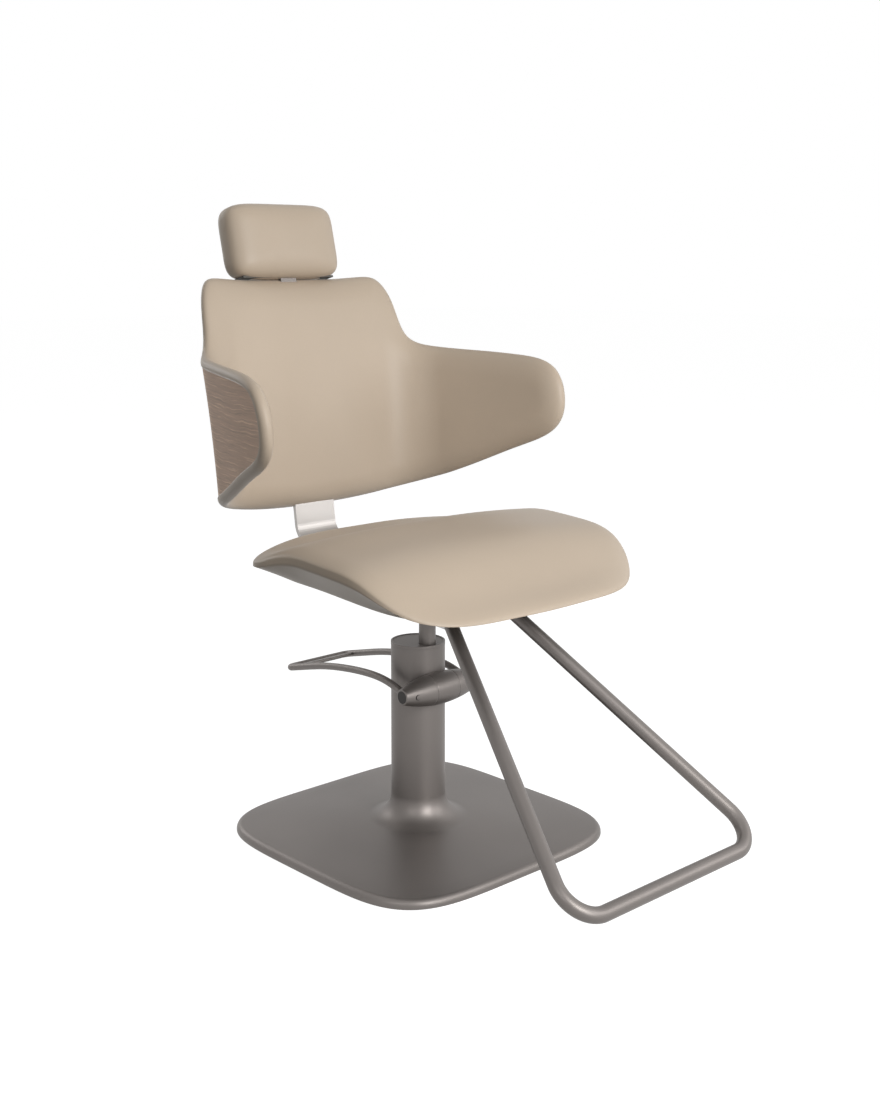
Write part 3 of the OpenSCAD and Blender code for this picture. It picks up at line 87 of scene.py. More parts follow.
class Nodes:
    """A node tree that is filled one node at a time."""

    def __init__(self, tree: bpy.types.NodeTree) -> None:
        """Starts from an empty tree.

        Args:
            tree: the node tree to fill.
        """
        self.tree = tree
        tree.nodes.clear()

    def feed(self, node: bpy.types.Node, inputs: dict[str | int, object]) -> None:
        """Sets or links the inputs of a node.

        Args:
            node: the node.
            inputs: values or output sockets for its inputs.
        """
        for key, value in inputs.items():
            if isinstance(value, bpy.types.NodeSocket):
                self.tree.links.new(value, node.inputs[key])
            else:
                node.inputs[key].default_value = value

    def add(self, kind: str, inputs: dict[str | int, object] | None = None,
            **settings: object) -> bpy.types.Node:
        """Adds a node, sets its properties and sets or links its inputs.

        Args:
            kind: the node's type.
            inputs: values or output sockets for the node's inputs.
            settings: properties of the node.

        Returns:
            The new node.
        """
        node = self.tree.nodes.new(kind)
        for name, value in settings.items():
            setattr(node, name, value)
        self.feed(node, inputs or {})
        return node

    def noise(self, place: bpy.types.NodeSocket, scale: float, detail: float,
              **inputs: float) -> bpy.types.NodeSocket:
        """Adds a noise texture and returns its factor."""
        values = {"Vector": place, "Scale": scale, "Detail": detail, **inputs}
        return self.add("ShaderNodeTexNoise", values).outputs[0]

    def bump(self, height: bpy.types.NodeSocket, strength: float,
             distance: float) -> bpy.types.NodeSocket:
        """Adds a bump, whose distance is in metres, and returns its normal."""
        values = {"Strength": strength, "Distance": distance, "Height": height}
        return self.add("ShaderNodeBump", values).outputs[0]

    def multiply(self, a: bpy.types.NodeSocket, b: bpy.types.NodeSocket) -> bpy.types.NodeSocket:
        """Multiplies two colours."""
        return self.add("ShaderNodeMix", {0: 1.0, 6: a, 7: b}, data_type="RGBA",
                        blend_type="MULTIPLY").outputs[2]

    def ramp(self, factor: bpy.types.NodeSocket,
             stops: list[tuple[float, Rgb]]) -> bpy.types.NodeSocket:
        """Adds a colour ramp.

        Args:
            factor: the socket that drives the ramp.
            stops: places and colours along the ramp.

        Returns:
            The ramp's colour output.
        """
        node = self.add("ShaderNodeValToRGB", {0: factor})
        ramp = node.color_ramp
        ramp.elements[0].position, ramp.elements[0].color = stops[0][0], (*stops[0][1], 1)
        ramp.elements[1].position, ramp.elements[1].color = stops[-1][0], (*stops[-1][1], 1)
        for place, colour in stops[1:-1]:
            ramp.elements.new(place).color = (*colour, 1)
        return node.outputs[0]

    def span(self, value: bpy.types.NodeSocket, low: float, high: float) -> bpy.types.NodeSocket:
        """Maps a factor from 0 to 1 onto a range.

        Args:
            value: the factor.
            low: the result at 0.
            high: the result at 1.

        Returns:
            The mapped output.
        """
        return self.add("ShaderNodeMapRange", {0: value, 3: low, 4: high}).outputs[0]

    def tones(self, factor: bpy.types.NodeSocket, dark: Rgb, light: Rgb) -> bpy.types.NodeSocket:
        """Adds a ramp from a dark to a light tone over a noise's usual range."""
        return self.ramp(factor, [(0.3, dark), (0.7, light)])

    def seen_rays(self) -> bpy.types.NodeSocket:
        """Tells the rays that see white from those that light the chair.

        Returns:
            1 for rays of the camera, of reflections and of transmission, else 0.
        """
        path = self.add("ShaderNodeLightPath").outputs
        clear = self.add("ShaderNodeMath", {0: path["Is Glossy Ray"],
                                            1: path["Is Transmission Ray"]}, operation="MAXIMUM")
        return self.add("ShaderNodeMath", {0: path["Is Camera Ray"], 1: clear.outputs[0]},
                        operation="MAXIMUM").outputs[0]


@dataclass(frozen=True)
class Finish:
    """A surface finish, made once and shared by the pieces that have it."""

    name: str
    colour: Rgb
    roughness: float = 0.5

    def material(self) -> bpy.types.Material:
        """Makes the finish's material, or finds it if it is there already.

        Returns:
            The material.
        """
        found = bpy.data.materials.get(self.name)
        if found:
            return found
        made = bpy.data.materials.new(self.name)
        made.use_nodes = True
        nodes = Nodes(made.node_tree)
        shader = nodes.add("ShaderNodeBsdfPrincipled", {"Base Color": (*self.colour, 1),
                                                        "Roughness": self.roughness})
        self.dress(nodes, shader)
        nodes.add("ShaderNodeOutputMaterial", {0: shader.outputs[0]})
        return made

    def dress(self, nodes: Nodes, shader: bpy.types.Node) -> None:
        """Adds the finish's own detail.

        Args:
            nodes: the material's tree.
            shader: its Principled shader.
        """

    def tint(self, share: float) -> Rgb:
        """Returns the finish's colour, lighter or darker by a share."""
        return tuple(min(1.0, c * share) for c in self.colour)


@dataclass(frozen=True)
class SatinMetal(Finish):
    """Bead-blasted metal under a thin satin lacquer."""

    metallic: float = 1.0
    grain: float = 900.0
    bump: float = 0.06
    spread: float = 0.05
    depth: float = 0.0002
    patch_scale: float = 5.0

    def dress(self, nodes: Nodes, shader: bpy.types.Node) -> None:
        """Adds the fine blasted grain and a slow change of tone.

        Args:
            nodes: the material's tree.
            shader: its Principled shader.
        """
        place = nodes.add("ShaderNodeTexCoord").outputs["Object"]
        fine = nodes.noise(place, self.grain, 3.0)
        slow = nodes.noise(place, self.patch_scale, 2.0)
        nodes.feed(shader, {
            "Base Color": nodes.tones(slow, self.tint(1 - self.spread), self.tint(1 + self.spread)),
            "Roughness": nodes.span(fine, self.roughness - self.spread, self.roughness + self.spread),
            "Normal": nodes.bump(fine, self.bump, self.depth),
            "Metallic": self.metallic})


@dataclass(frozen=True)
class Leather(Finish):
    """Smooth, finely grained leather with a soft sheen."""

    grain: float = 1500.0
    pore_share: float = 0.55
    bump: float = 0.1
    depth: float = 0.0003
    patch_scale: float = 4.0
    patch_tones: tuple[float, float] = (0.965, 1.03)
    speck: float = 0.95
    rough_less: float = 0.04
    rough_more: float = 0.05
    specular: float = 0.28
    sheen: float = 0.08
    sheen_roughness: float = 0.4

    def dress(self, nodes: Nodes, shader: bpy.types.Node) -> None:
        """Adds pores, a fine pebble and slow patches of tone.

        Args:
            nodes: the material's tree.
            shader: its Principled shader.
        """
        place = nodes.add("ShaderNodeTexCoord").outputs["Object"]
        cells = nodes.add("ShaderNodeTexVoronoi",
                          {"Vector": place, "Scale": self.grain * self.pore_share})
        fine = nodes.noise(place, self.grain, 4.0)
        slow = nodes.noise(place, self.patch_scale, 4.0)
        patch = nodes.tones(slow, *(self.tint(share) for share in self.patch_tones))
        speck = nodes.ramp(fine, [(0.35, (self.speck,) * 3), (0.6, (1.0,) * 3)])
        height = nodes.add("ShaderNodeMath", {0: cells.outputs["Distance"], 1: fine},
                           operation="ADD").outputs[0]
        nodes.feed(shader, {
            "Base Color": nodes.multiply(patch, speck),
            "Roughness": nodes.span(fine, self.roughness - self.rough_less,
                                    self.roughness + self.rough_more),
            "Normal": nodes.bump(height, self.bump, self.depth),
            "Specular IOR Level": self.specular,
            "Sheen Weight": self.sheen,
            "Sheen Roughness": self.sheen_roughness})


@dataclass(frozen=True)
class Veneer(Finish):
    """Open-pored wood veneer whose grain runs round the back."""

    light: float = 1.75
    warp_scale: float = 14.0
    warp: float = 0.012
    fibre_scale: tuple[float, float, float] = (10.0, 330.0, 1.0)
    band_scale: tuple[float, float, float] = (3.0, 60.0, 1.0)
    band_tones: tuple[float, float] = (0.86, 1.12)
    pore: float = 0.85
    groove: float = 0.66
    bump: float = 0.25
    depth: float = 0.0004

    def dress(self, nodes: Nodes, shader: bpy.types.Node) -> None:
        """Adds bands, wavy fibres and pale pores along the piece's own map.

        Args:
            nodes: the material's tree.
            shader: its Principled shader.
        """
        place = nodes.add("ShaderNodeTexCoord").outputs["UV"]
        warp = nodes.add("ShaderNodeTexNoise",
                         {"Vector": place, "Scale": self.warp_scale, "Detail": 2.0})
        shift = nodes.add("ShaderNodeVectorMath", {0: warp.outputs["Color"],
                                                   1: (0.0, self.warp, 0.0)}, operation="MULTIPLY")
        moved = nodes.add("ShaderNodeVectorMath", {0: place, 1: shift.outputs[0]}, operation="ADD")
        long, wide = (nodes.add("ShaderNodeMapping", {0: moved.outputs[0], 3: scale}).outputs[0]
                      for scale in (self.fibre_scale, self.band_scale))
        fibre = nodes.noise(long, 1.0, 5.0, Roughness=0.6)
        band = nodes.noise(wide, 1.0, 3.0)
        dark, light = (self.tint(share) for share in self.band_tones)
        tone = nodes.ramp(band, [(0.3, dark), (0.55, self.colour), (0.75, light)])
        black, pore = (0.0,) * 3, (self.pore,) * 3
        pores = nodes.ramp(fibre, [(0.0, black), (0.54, black), (0.66, pore), (1.0, pore)])
        grooves = nodes.ramp(fibre, [(0.3, (self.groove,) * 3), (0.44, (1.0,) * 3)])
        mixed = nodes.add("ShaderNodeMix", {0: pores, 6: nodes.multiply(tone, grooves),
                                            7: (*self.tint(self.light), 1)}, data_type="RGBA")
        nodes.feed(shader, {"Base Color": mixed.outputs[2],
                            "Normal": nodes.bump(fibre, self.bump, self.depth)})


@dataclass(frozen=True)
class Plain(Finish):
    """Moulded rubber, plastic, raw board or cast metal with a fine tooth."""

    metallic: float = 0.0
    grain: float = 600.0
    bump: float = 0.15
    depth: float = 0.0003
    tooth_tones: tuple[float, float] = (0.88, 1.1)

    def dress(self, nodes: Nodes, shader: bpy.types.Node) -> None:
        """Adds the tooth and a little change of tone.

        Args:
            nodes: the material's tree.
            shader: its Principled shader.
        """
        place = nodes.add("ShaderNodeTexCoord").outputs["Object"]
        fine = nodes.noise(place, self.grain, 4.0)
        nodes.feed(shader, {
            "Base Color": nodes.tones(fine, *(self.tint(share) for share in self.tooth_tones)),
            "Normal": nodes.bump(fine, self.bump, self.depth),
            "Metallic": self.metallic})


METAL = SatinMetal("satin_taupe_metal", (0.175, 0.158, 0.148), 0.45, metallic=0.7)
STRAP_METAL = SatinMetal("brushed_strap_steel", (0.40, 0.38, 0.365), 0.42, bump=0.04)
BRIGHT = SatinMetal("polished_steel", (0.70, 0.69, 0.68), 0.2, bump=0.01, spread=0.02)
PLAIN_STEEL = SatinMetal("plain_steel", (0.40, 0.39, 0.385), 0.45)
DARK_STEEL = SatinMetal("blackened_steel", (0.06, 0.056, 0.053), 0.45)
SHAFT_END = SatinMetal("dark_turned_steel", (0.03, 0.027, 0.025), 0.5, metallic=0.5)
# The column cap's own copy of the satin metal, painted lighter and made less metallic to lift it out of
# the seat's shade
CAP_LIGHTENED_METAL = SatinMetal("satin_cap_metal_painted_lighter", (0.19, 0.17, 0.16), 0.5, metallic=0.5)
BRONZE = SatinMetal("bearing_bronze", (0.50, 0.33, 0.16), 0.35)
CAST = Plain("cast_ballast", (0.05, 0.05, 0.05), 0.7, metallic=0.6)
RUBBER = Plain("black_rubber", (0.022, 0.021, 0.02), 0.75)
PLASTIC = Plain("dark_plastic", (0.03, 0.026, 0.023), 0.6)
BOARD = Plain("birch_plywood", (0.56, 0.42, 0.26), 0.65, grain=240.0)
HIDE = Leather("beige_leather", (0.470, 0.386, 0.300), 0.43)
WOOD = Veneer("brown_oak_veneer", (0.60, 0.42, 0.31), 0.62)

SLOT_FINISH: dict[str, Finish] = {
    "satin_metal": METAL, "plain_steel": PLAIN_STEEL, "bright_steel": BRIGHT,
    "dark_steel": DARK_STEEL, "ballast": CAST, "bronze": BRONZE, "rubber": RUBBER,
    "dark_plastic": PLASTIC, "plywood": BOARD, "veneer": WOOD, "hide": HIDE,
}
NODE_FINISH: dict[str, Finish] = {
    "ram": METAL, "pedal_pad": METAL, "column_cap": CAP_LIGHTENED_METAL, "hub_pins": DARK_STEEL,
    # The headrest stem takes the dark taupe metal instead of its bright slot, as painted shade for the
    # shadow it sits in
    "back_strap": STRAP_METAL, "headrest_stem": METAL,
}


# Meshes


def smooth_span(a: np.ndarray, b: np.ndarray, c: np.ndarray, d: np.ndarray,
                u: float) -> np.ndarray:
    """Returns the point of a smooth curve at u, from 0 to 1, between four guide points."""
    return ((1 - u) ** 3 * a + (3 * u ** 3 - 6 * u * u + 4) * b
            + (3 * u + 3 * u * u - 3 * u ** 3 + 1) * c + u ** 3 * d) / 6


def half_curve(guides: np.ndarray, per_span: int) -> np.ndarray:
    """Draws a smooth half outline through guide points mirrored at both ends.

    Args:
        guides: guide points, from the middle round to the middle.
        per_span: points in each span.

    Returns:
        The outline's points.
    """
    flip = np.array([-1.0, 1.0])
    ext = np.vstack([guides[1] * flip, guides, guides[-2] * flip])
    points = [smooth_span(*ext[i:i + 4], k / per_span)
              for i in range(len(ext) - 3) for k in range(per_span)]
    points.append(smooth_span(*ext[-4:], 1.0))
    return np.array(points)


def open_curve(guides: np.ndarray, per_span: int) -> np.ndarray:
    """Draws a smooth curve that starts and ends at its outer guide points.

    Args:
        guides: guide points in space.
        per_span: points in each span.

    Returns:
        The curve's points.
    """
    ext = np.vstack([2 * guides[0] - guides[1], guides, 2 * guides[-1] - guides[-2]])
    points = [smooth_span(*ext[i:i + 4], k / per_span)
              for i in range(len(ext) - 3) for k in range(per_span)]
    points.append(guides[-1])
    return np.array(points)


def skin(rings: np.ndarray, joined: bool = False) -> tuple[np.ndarray, list[tuple[int, ...]]]:
    """Joins rings of points into one closed mesh.

    Args:
        rings: an array of rings, each of the same number of points in millimetres.
        joined: True if the last ring meets the first instead of being capped.

    Returns:
        Points and faces.
    """
    count, size = rings.shape[:2]
    faces: list[tuple[int, ...]] = []
    for i in range(count if joined else count - 1):
        n = (i + 1) % count
        for j in range(size):
            k = (j + 1) % size
            faces.append((i * size + j, n * size + j, n * size + k, i * size + k))
    if not joined:
        faces.append(tuple(range(size)))
        faces.append(tuple((count - 1) * size + j for j in range(size - 1, -1, -1)))
    return rings.reshape(-1, 3), faces


def put(name: str, data: bpy.types.ID) -> bpy.types.Object:
    """Puts a new object into the scene.

    Args:
        name: the object's name.
        data: its mesh, lamp or camera.

    Returns:
        The object.
    """
    made = bpy.data.objects.new(name, data)
    bpy.context.scene.collection.objects.link(made)
    return made


def piece(name: str, points: np.ndarray, faces: list[tuple[int, ...]],
          finish: Finish) -> bpy.types.Object:
    """Makes a smooth mesh object from points in millimetres.

    Args:
        name: the piece's name.
        points: its points.
        faces: its faces.
        finish: its finish.

    Returns:
        The object, at the origin with its place in its mesh.
    """
    mesh = bpy.data.meshes.new(name)
    mesh.from_pydata((np.asarray(points) * MM).tolist(), [], faces)
    mesh.validate()
    mesh.materials.append(finish.material())
    mesh.polygons.foreach_set("use_smooth", [True] * len(mesh.polygons))
    return put(name, mesh)


def outward(obj: bpy.types.Object) -> bpy.types.Object:
    """Turns a closed mesh's faces outwards.

    Args:
        obj: the piece.

    Returns:
        The same piece.
    """
    work = bmesh.new()
    work.from_mesh(obj.data)
    bmesh.ops.recalc_face_normals(work, faces=work.faces)
    if work.calc_volume(signed=True) < 0:
        bmesh.ops.reverse_faces(work, faces=work.faces)
    work.to_mesh(obj.data)
    work.free()
    return obj


def sharpen(obj: bpy.types.Object, degrees: float) -> bpy.types.Object:
    """Marks edges steeper than an angle as sharp.

    Args:
        obj: the piece.
        degrees: the angle.

    Returns:
        The same piece.
    """
    obj.data.set_sharp_from_angle(angle=math.radians(degrees))
    return obj


def lathe(name: str, profile: list[tuple[float, float]], place: tuple[float, float, float],
          finish: Finish, along_x: bool = False, steps: int = 128) -> bpy.types.Object:
    """Turns a profile of radius and height about an axis.

    Args:
        name: the piece's name.
        profile: radii and heights in millimetres, closed round by the turn.
        place: the axis's origin in millimetres.
        finish: the finish.
        along_x: True if the axis lies along X, else along Z.
        steps: points round the axis.

    Returns:
        The piece.
    """
    turn = np.linspace(0, 2 * math.pi, steps, endpoint=False)
    rings = []
    for radius, height in profile:
        round_part = [radius * np.cos(turn), radius * np.sin(turn)]
        along = np.full(steps, height)
        ring = [along, *round_part] if along_x else [*round_part, along]
        rings.append(np.stack(ring, axis=1) + np.array(place))
    joined = profile[0][0] > AXIS and len(profile) > 2 and profile[0] != profile[-1]
    return outward(piece(name, *skin(np.array(rings), joined=joined), finish))


def rounded_profile(points: list[tuple[float, float]], radius: float,
                    steps: int = 4) -> list[tuple[float, float]]:
    """Rounds the corners of a closed profile.

    Args:
        points: the corners.
        radius: the corner radius.
        steps: points in each corner.

    Returns:
        The profile with round corners.
    """
    result: list[tuple[float, float]] = []
    corners = [np.array(p, float) for p in points]
    for i, here in enumerate(corners):
        before, after = corners[i - 1], corners[(i + 1) % len(corners)]
        u = (before - here) / np.linalg.norm(before - here)
        v = (after - here) / np.linalg.norm(after - here)
        for k in range(steps + 1):
            q = k / steps
            point = here + radius * (u * (1 - q) ** 2 + v * q * q)
            result.append((float(point[0]), float(point[1])))
    return result


# Swept pieces


class Sweep:
    """A Geometry Nodes tree that turns a line of edges into a round rod or tube."""

    def __init__(self) -> None:
        """Builds the tree with its named inputs."""
        tree = bpy.data.node_groups.new("round_stock_along_line", "GeometryNodeTree")
        sockets = tree.interface
        sockets.new_socket("Geometry", in_out="INPUT", socket_type="NodeSocketGeometry")
        self.radius = sockets.new_socket("Radius", in_out="INPUT", socket_type="NodeSocketFloat")
        self.sides = sockets.new_socket("Sides", in_out="INPUT", socket_type="NodeSocketInt")
        self.finish = sockets.new_socket("Finish", in_out="INPUT",
                                         socket_type="NodeSocketMaterial")
        sockets.new_socket("Geometry", in_out="OUTPUT", socket_type="NodeSocketGeometry")
        nodes = Nodes(tree)
        given = nodes.add("NodeGroupInput").outputs
        line = nodes.add("GeometryNodeMeshToCurve", {"Mesh": given["Geometry"]})
        ring = nodes.add("GeometryNodeCurvePrimitiveCircle",
                         {"Resolution": given["Sides"], "Radius": given["Radius"]})
        rod = nodes.add("GeometryNodeCurveToMesh",
                        {"Curve": line.outputs[0], "Profile Curve": ring.outputs[0],
                         "Fill Caps": True})
        soft = nodes.add("GeometryNodeSetShadeSmooth", {"Geometry": rod.outputs[0]})
        real = nodes.add("GeometryNodeRealizeInstances", {"Geometry": soft.outputs[0]})
        dressed = nodes.add("GeometryNodeSetMaterial",
                            {"Geometry": real.outputs[0], "Material": given["Finish"]})
        nodes.add("NodeGroupOutput", {0: dressed.outputs[0]})
        self.tree = tree

    def make(self, name: str, line: np.ndarray, radius: float, finish: Finish,
             sides: int = 32, loop: bool = False) -> bpy.types.Object:
        """Sweeps a line.

        Args:
            name: the piece's name.
            line: the line's points in millimetres.
            radius: the rod's radius in millimetres.
            finish: its finish.
            sides: points round the rod.
            loop: True if the line closes on itself.

        Returns:
            The piece as a plain mesh.
        """
        edges = [(i, i + 1) for i in range(len(line) - 1)]
        if loop:
            edges.append((len(line) - 1, 0))
        mesh = bpy.data.meshes.new(name + "_line")
        mesh.from_pydata((line * MM).tolist(), edges, [])
        source = put(name + "_line", mesh)
        modifier = source.modifiers.new("sweep", "NODES")
        modifier.node_group = self.tree
        modifier[self.radius.identifier] = radius * MM
        modifier[self.sides.identifier] = sides
        modifier[self.finish.identifier] = finish.material()
        graph = bpy.context.evaluated_depsgraph_get()
        result = bpy.data.meshes.new_from_object(source.evaluated_get(graph))
        result.name = name
        bpy.data.objects.remove(source)
        return sharpen(outward(put(name, result)), degrees=50)


# Sub-assemblies


@dataclass
class Foot:
    """The pressed foot: a rounded square that flares up to the column."""

    half: float = 252.5
    # Power of the rounded square: 2 is a circle, and more is squarer
    square: float = 4.5
    rim_top: float = 16.0
    rim_round: float = 11.0
    rise: float = 12.0
    fillet: float = 42.0
    inner_fillet: float = 30.0
    # How far the fillet's upper edge stands off the column
    skirt: float = 0.1
    wall: float = 3.0
    column_r: float = 45.0
    rim_wall: float = 6.0
    rim_low: float = 1.5
    plate_top: float = 11.0
    under_seat: float = 22.0
    steps: int = 288
    fillet_steps: int = 25
    rim_steps: int = 9
    # Places of the rings between the fillet and the rim, as shares of the way
    shares: tuple[float, ...] = (0.03, 0.07, 0.12, 0.2, 0.3, 0.4, 0.5, 0.6, 0.7, 0.8, 0.88)
    # Insets and heights of the rim's eased lower edge
    eased: tuple[tuple[float, float], ...] = ((0, 2.9), (0.3, 2.0), (1.0, 1.5))

    def ring(self, radius: float, share: float, inset: float, height: float) -> np.ndarray:
        """Draws a ring that is round near the column and square at the rim.

        Args:
            radius: radius of the round ring.
            share: 0 for the round ring, 1 for the rim.
            inset: how far the rim is drawn in.
            height: the ring's height.

        Returns:
            The ring's points.
        """
        turn = np.linspace(0, 2 * math.pi, self.steps, endpoint=False)
        reach = self.half / (np.abs(np.cos(turn)) ** self.square
                             + np.abs(np.sin(turn)) ** self.square) ** (1 / self.square)
        r = radius * (1 - share) + share * (reach - inset)
        return np.stack([r * np.cos(turn), r * np.sin(turn), np.full(self.steps, height)], axis=1)

    def profile(self, drop: float, fillet: float, start: float) -> list[np.ndarray]:
        """Returns the rings of a face, from the column's edge to the rim.

        Args:
            drop: how far the face lies below the top face.
            fillet: radius of the top face's fillet.
            start: radius at which that fillet meets the column.

        Returns:
            The rings.
        """
        top = self.rim_top + self.rise
        centre, far = start + fillet, fillet + drop
        rings = [self.ring(centre - far * math.cos(a), 0, 0, top + fillet - far * math.sin(a))
                 for a in np.linspace(0, math.pi / 2, self.fillet_steps)]
        rings += [self.ring(centre, k, 0, top - self.rise * k - drop) for k in self.shares]
        return rings

    def build(self) -> None:
        """Makes the foot cover and puts it in place of the plain one."""
        start = self.column_r + self.skirt
        rings = self.profile(0.0, self.fillet, start)
        rings += [self.ring(0, 1, self.rim_round * (1 - math.sin(a)),
                            self.rim_top - self.rim_round * (1 - math.cos(a)))
                  for a in np.linspace(0, math.pi / 2, self.rim_steps)]
        rings += [self.ring(0, 1, inset, height) for inset, height in (
            *self.eased, (self.rim_wall, self.rim_low), (self.rim_wall, self.plate_top),
            (self.rim_wall + self.under_seat, self.plate_top))]
        rings += self.profile(self.wall, self.inner_fillet, self.column_r)[::-1]
        rings.append(self.ring(start, 0, 0, self.rim_top + self.rise + self.inner_fillet))
        made = outward(piece("foot_cover", *skin(np.array(rings), joined=True), METAL))
        sharpen(made, degrees=40)
        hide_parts("base_cover")
        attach(made, Body.BASE.value)
        log.info("foot cover: %d faces", len(made.data.polygons))


@dataclass
class Column:
    """The column tube's upper edge, eased by a thin lip over it."""

    radius: float = 45.0
    wall: float = 3.0
    top: float = 327.0
    # How far the lip stands out from the tube, into its wall at the lower edge, and above it
    skirt: float = 0.25
    skirt_inner: float = 0.1
    rise: float = 0.2
    # How far the lip reaches down outside and inside
    outer_drop: float = 5.0
    inner_drop: float = 1.2
    round_r: float = 0.45

    def build(self) -> None:
        """Makes the lip."""
        out, inner = self.radius + self.skirt, self.radius - self.wall
        low, top = self.top - self.outer_drop, self.top + self.rise
        lip = rounded_profile([(out, low), (out, top), (inner, top), (inner, self.top - self.inner_drop),
                               (self.radius - self.skirt_inner, low)], self.round_r)
        made = lathe("column_lip", lip, (0, 0, 0), METAL)
        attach(made, Body.BASE.value)
        log.info("column lip: %d faces", len(made.data.polygons))


@dataclass
class Footrest:
    """The bent tube that carries the sitter's feet."""

    tube_r: float = 11.25
    bend: float = 48.0
    half: float = 213.0
    reach: float = 538.0
    low: float = 86.0
    leg_x: float = 51.0
    leg_y: float = 110.0
    leg_z: float = 424.0
    bend_steps: int = 29
    leg_steps: int = 20
    bar_steps: int = 14

    def line(self) -> np.ndarray:
        """Draws the tube's middle line, from one leg's top to the other's.

        Returns:
            The line's points.
        """
        rise, run = self.leg_z - self.low, self.reach - self.leg_y
        length, pitch = math.hypot(rise, run), math.atan2(rise, run)
        lean = round(math.degrees(math.atan2(self.half - self.leg_x, length)), 1)
        turn = 90 + lean
        back = self.bend * math.tan(math.radians(turn / 2))
        bar = round(self.half - back, 1)
        leg = round(math.hypot(self.half - self.leg_x, length) - back, 1)
        side = []
        for a in np.radians(np.linspace(-90, lean, self.bend_steps)):
            side.append((bar + self.bend * math.cos(a), self.bend * (1 + math.sin(a))))
        end, way = np.array(side[-1]), np.array([-math.sin(math.radians(lean)),
                                                 math.cos(math.radians(lean))])
        side += [tuple(end + way * leg * k) for k in np.linspace(0.05, 1, self.leg_steps)]
        right = np.array(side)
        left = right[::-1] * np.array([-1, 1])
        inside = np.linspace(-bar, bar, self.bar_steps)[1:-1]
        middle = np.stack([inside, np.zeros(len(inside))], axis=1)
        flat = np.vstack([left, middle, right])
        return np.stack([flat[:, 0], -self.reach + flat[:, 1] * math.cos(pitch),
                         self.low + flat[:, 1] * math.sin(pitch)], axis=1)

    def build(self, sweep: Sweep) -> None:
        """Makes the tube.

        Args:
            sweep: the tree that makes round stock.
        """
        made = sweep.make("footrest_bar", self.line(), self.tube_r, METAL, sides=48)
        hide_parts("footrest_tube")
        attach(made, Body.SEAT.value)
        log.info("footrest: %d faces", len(made.data.polygons))


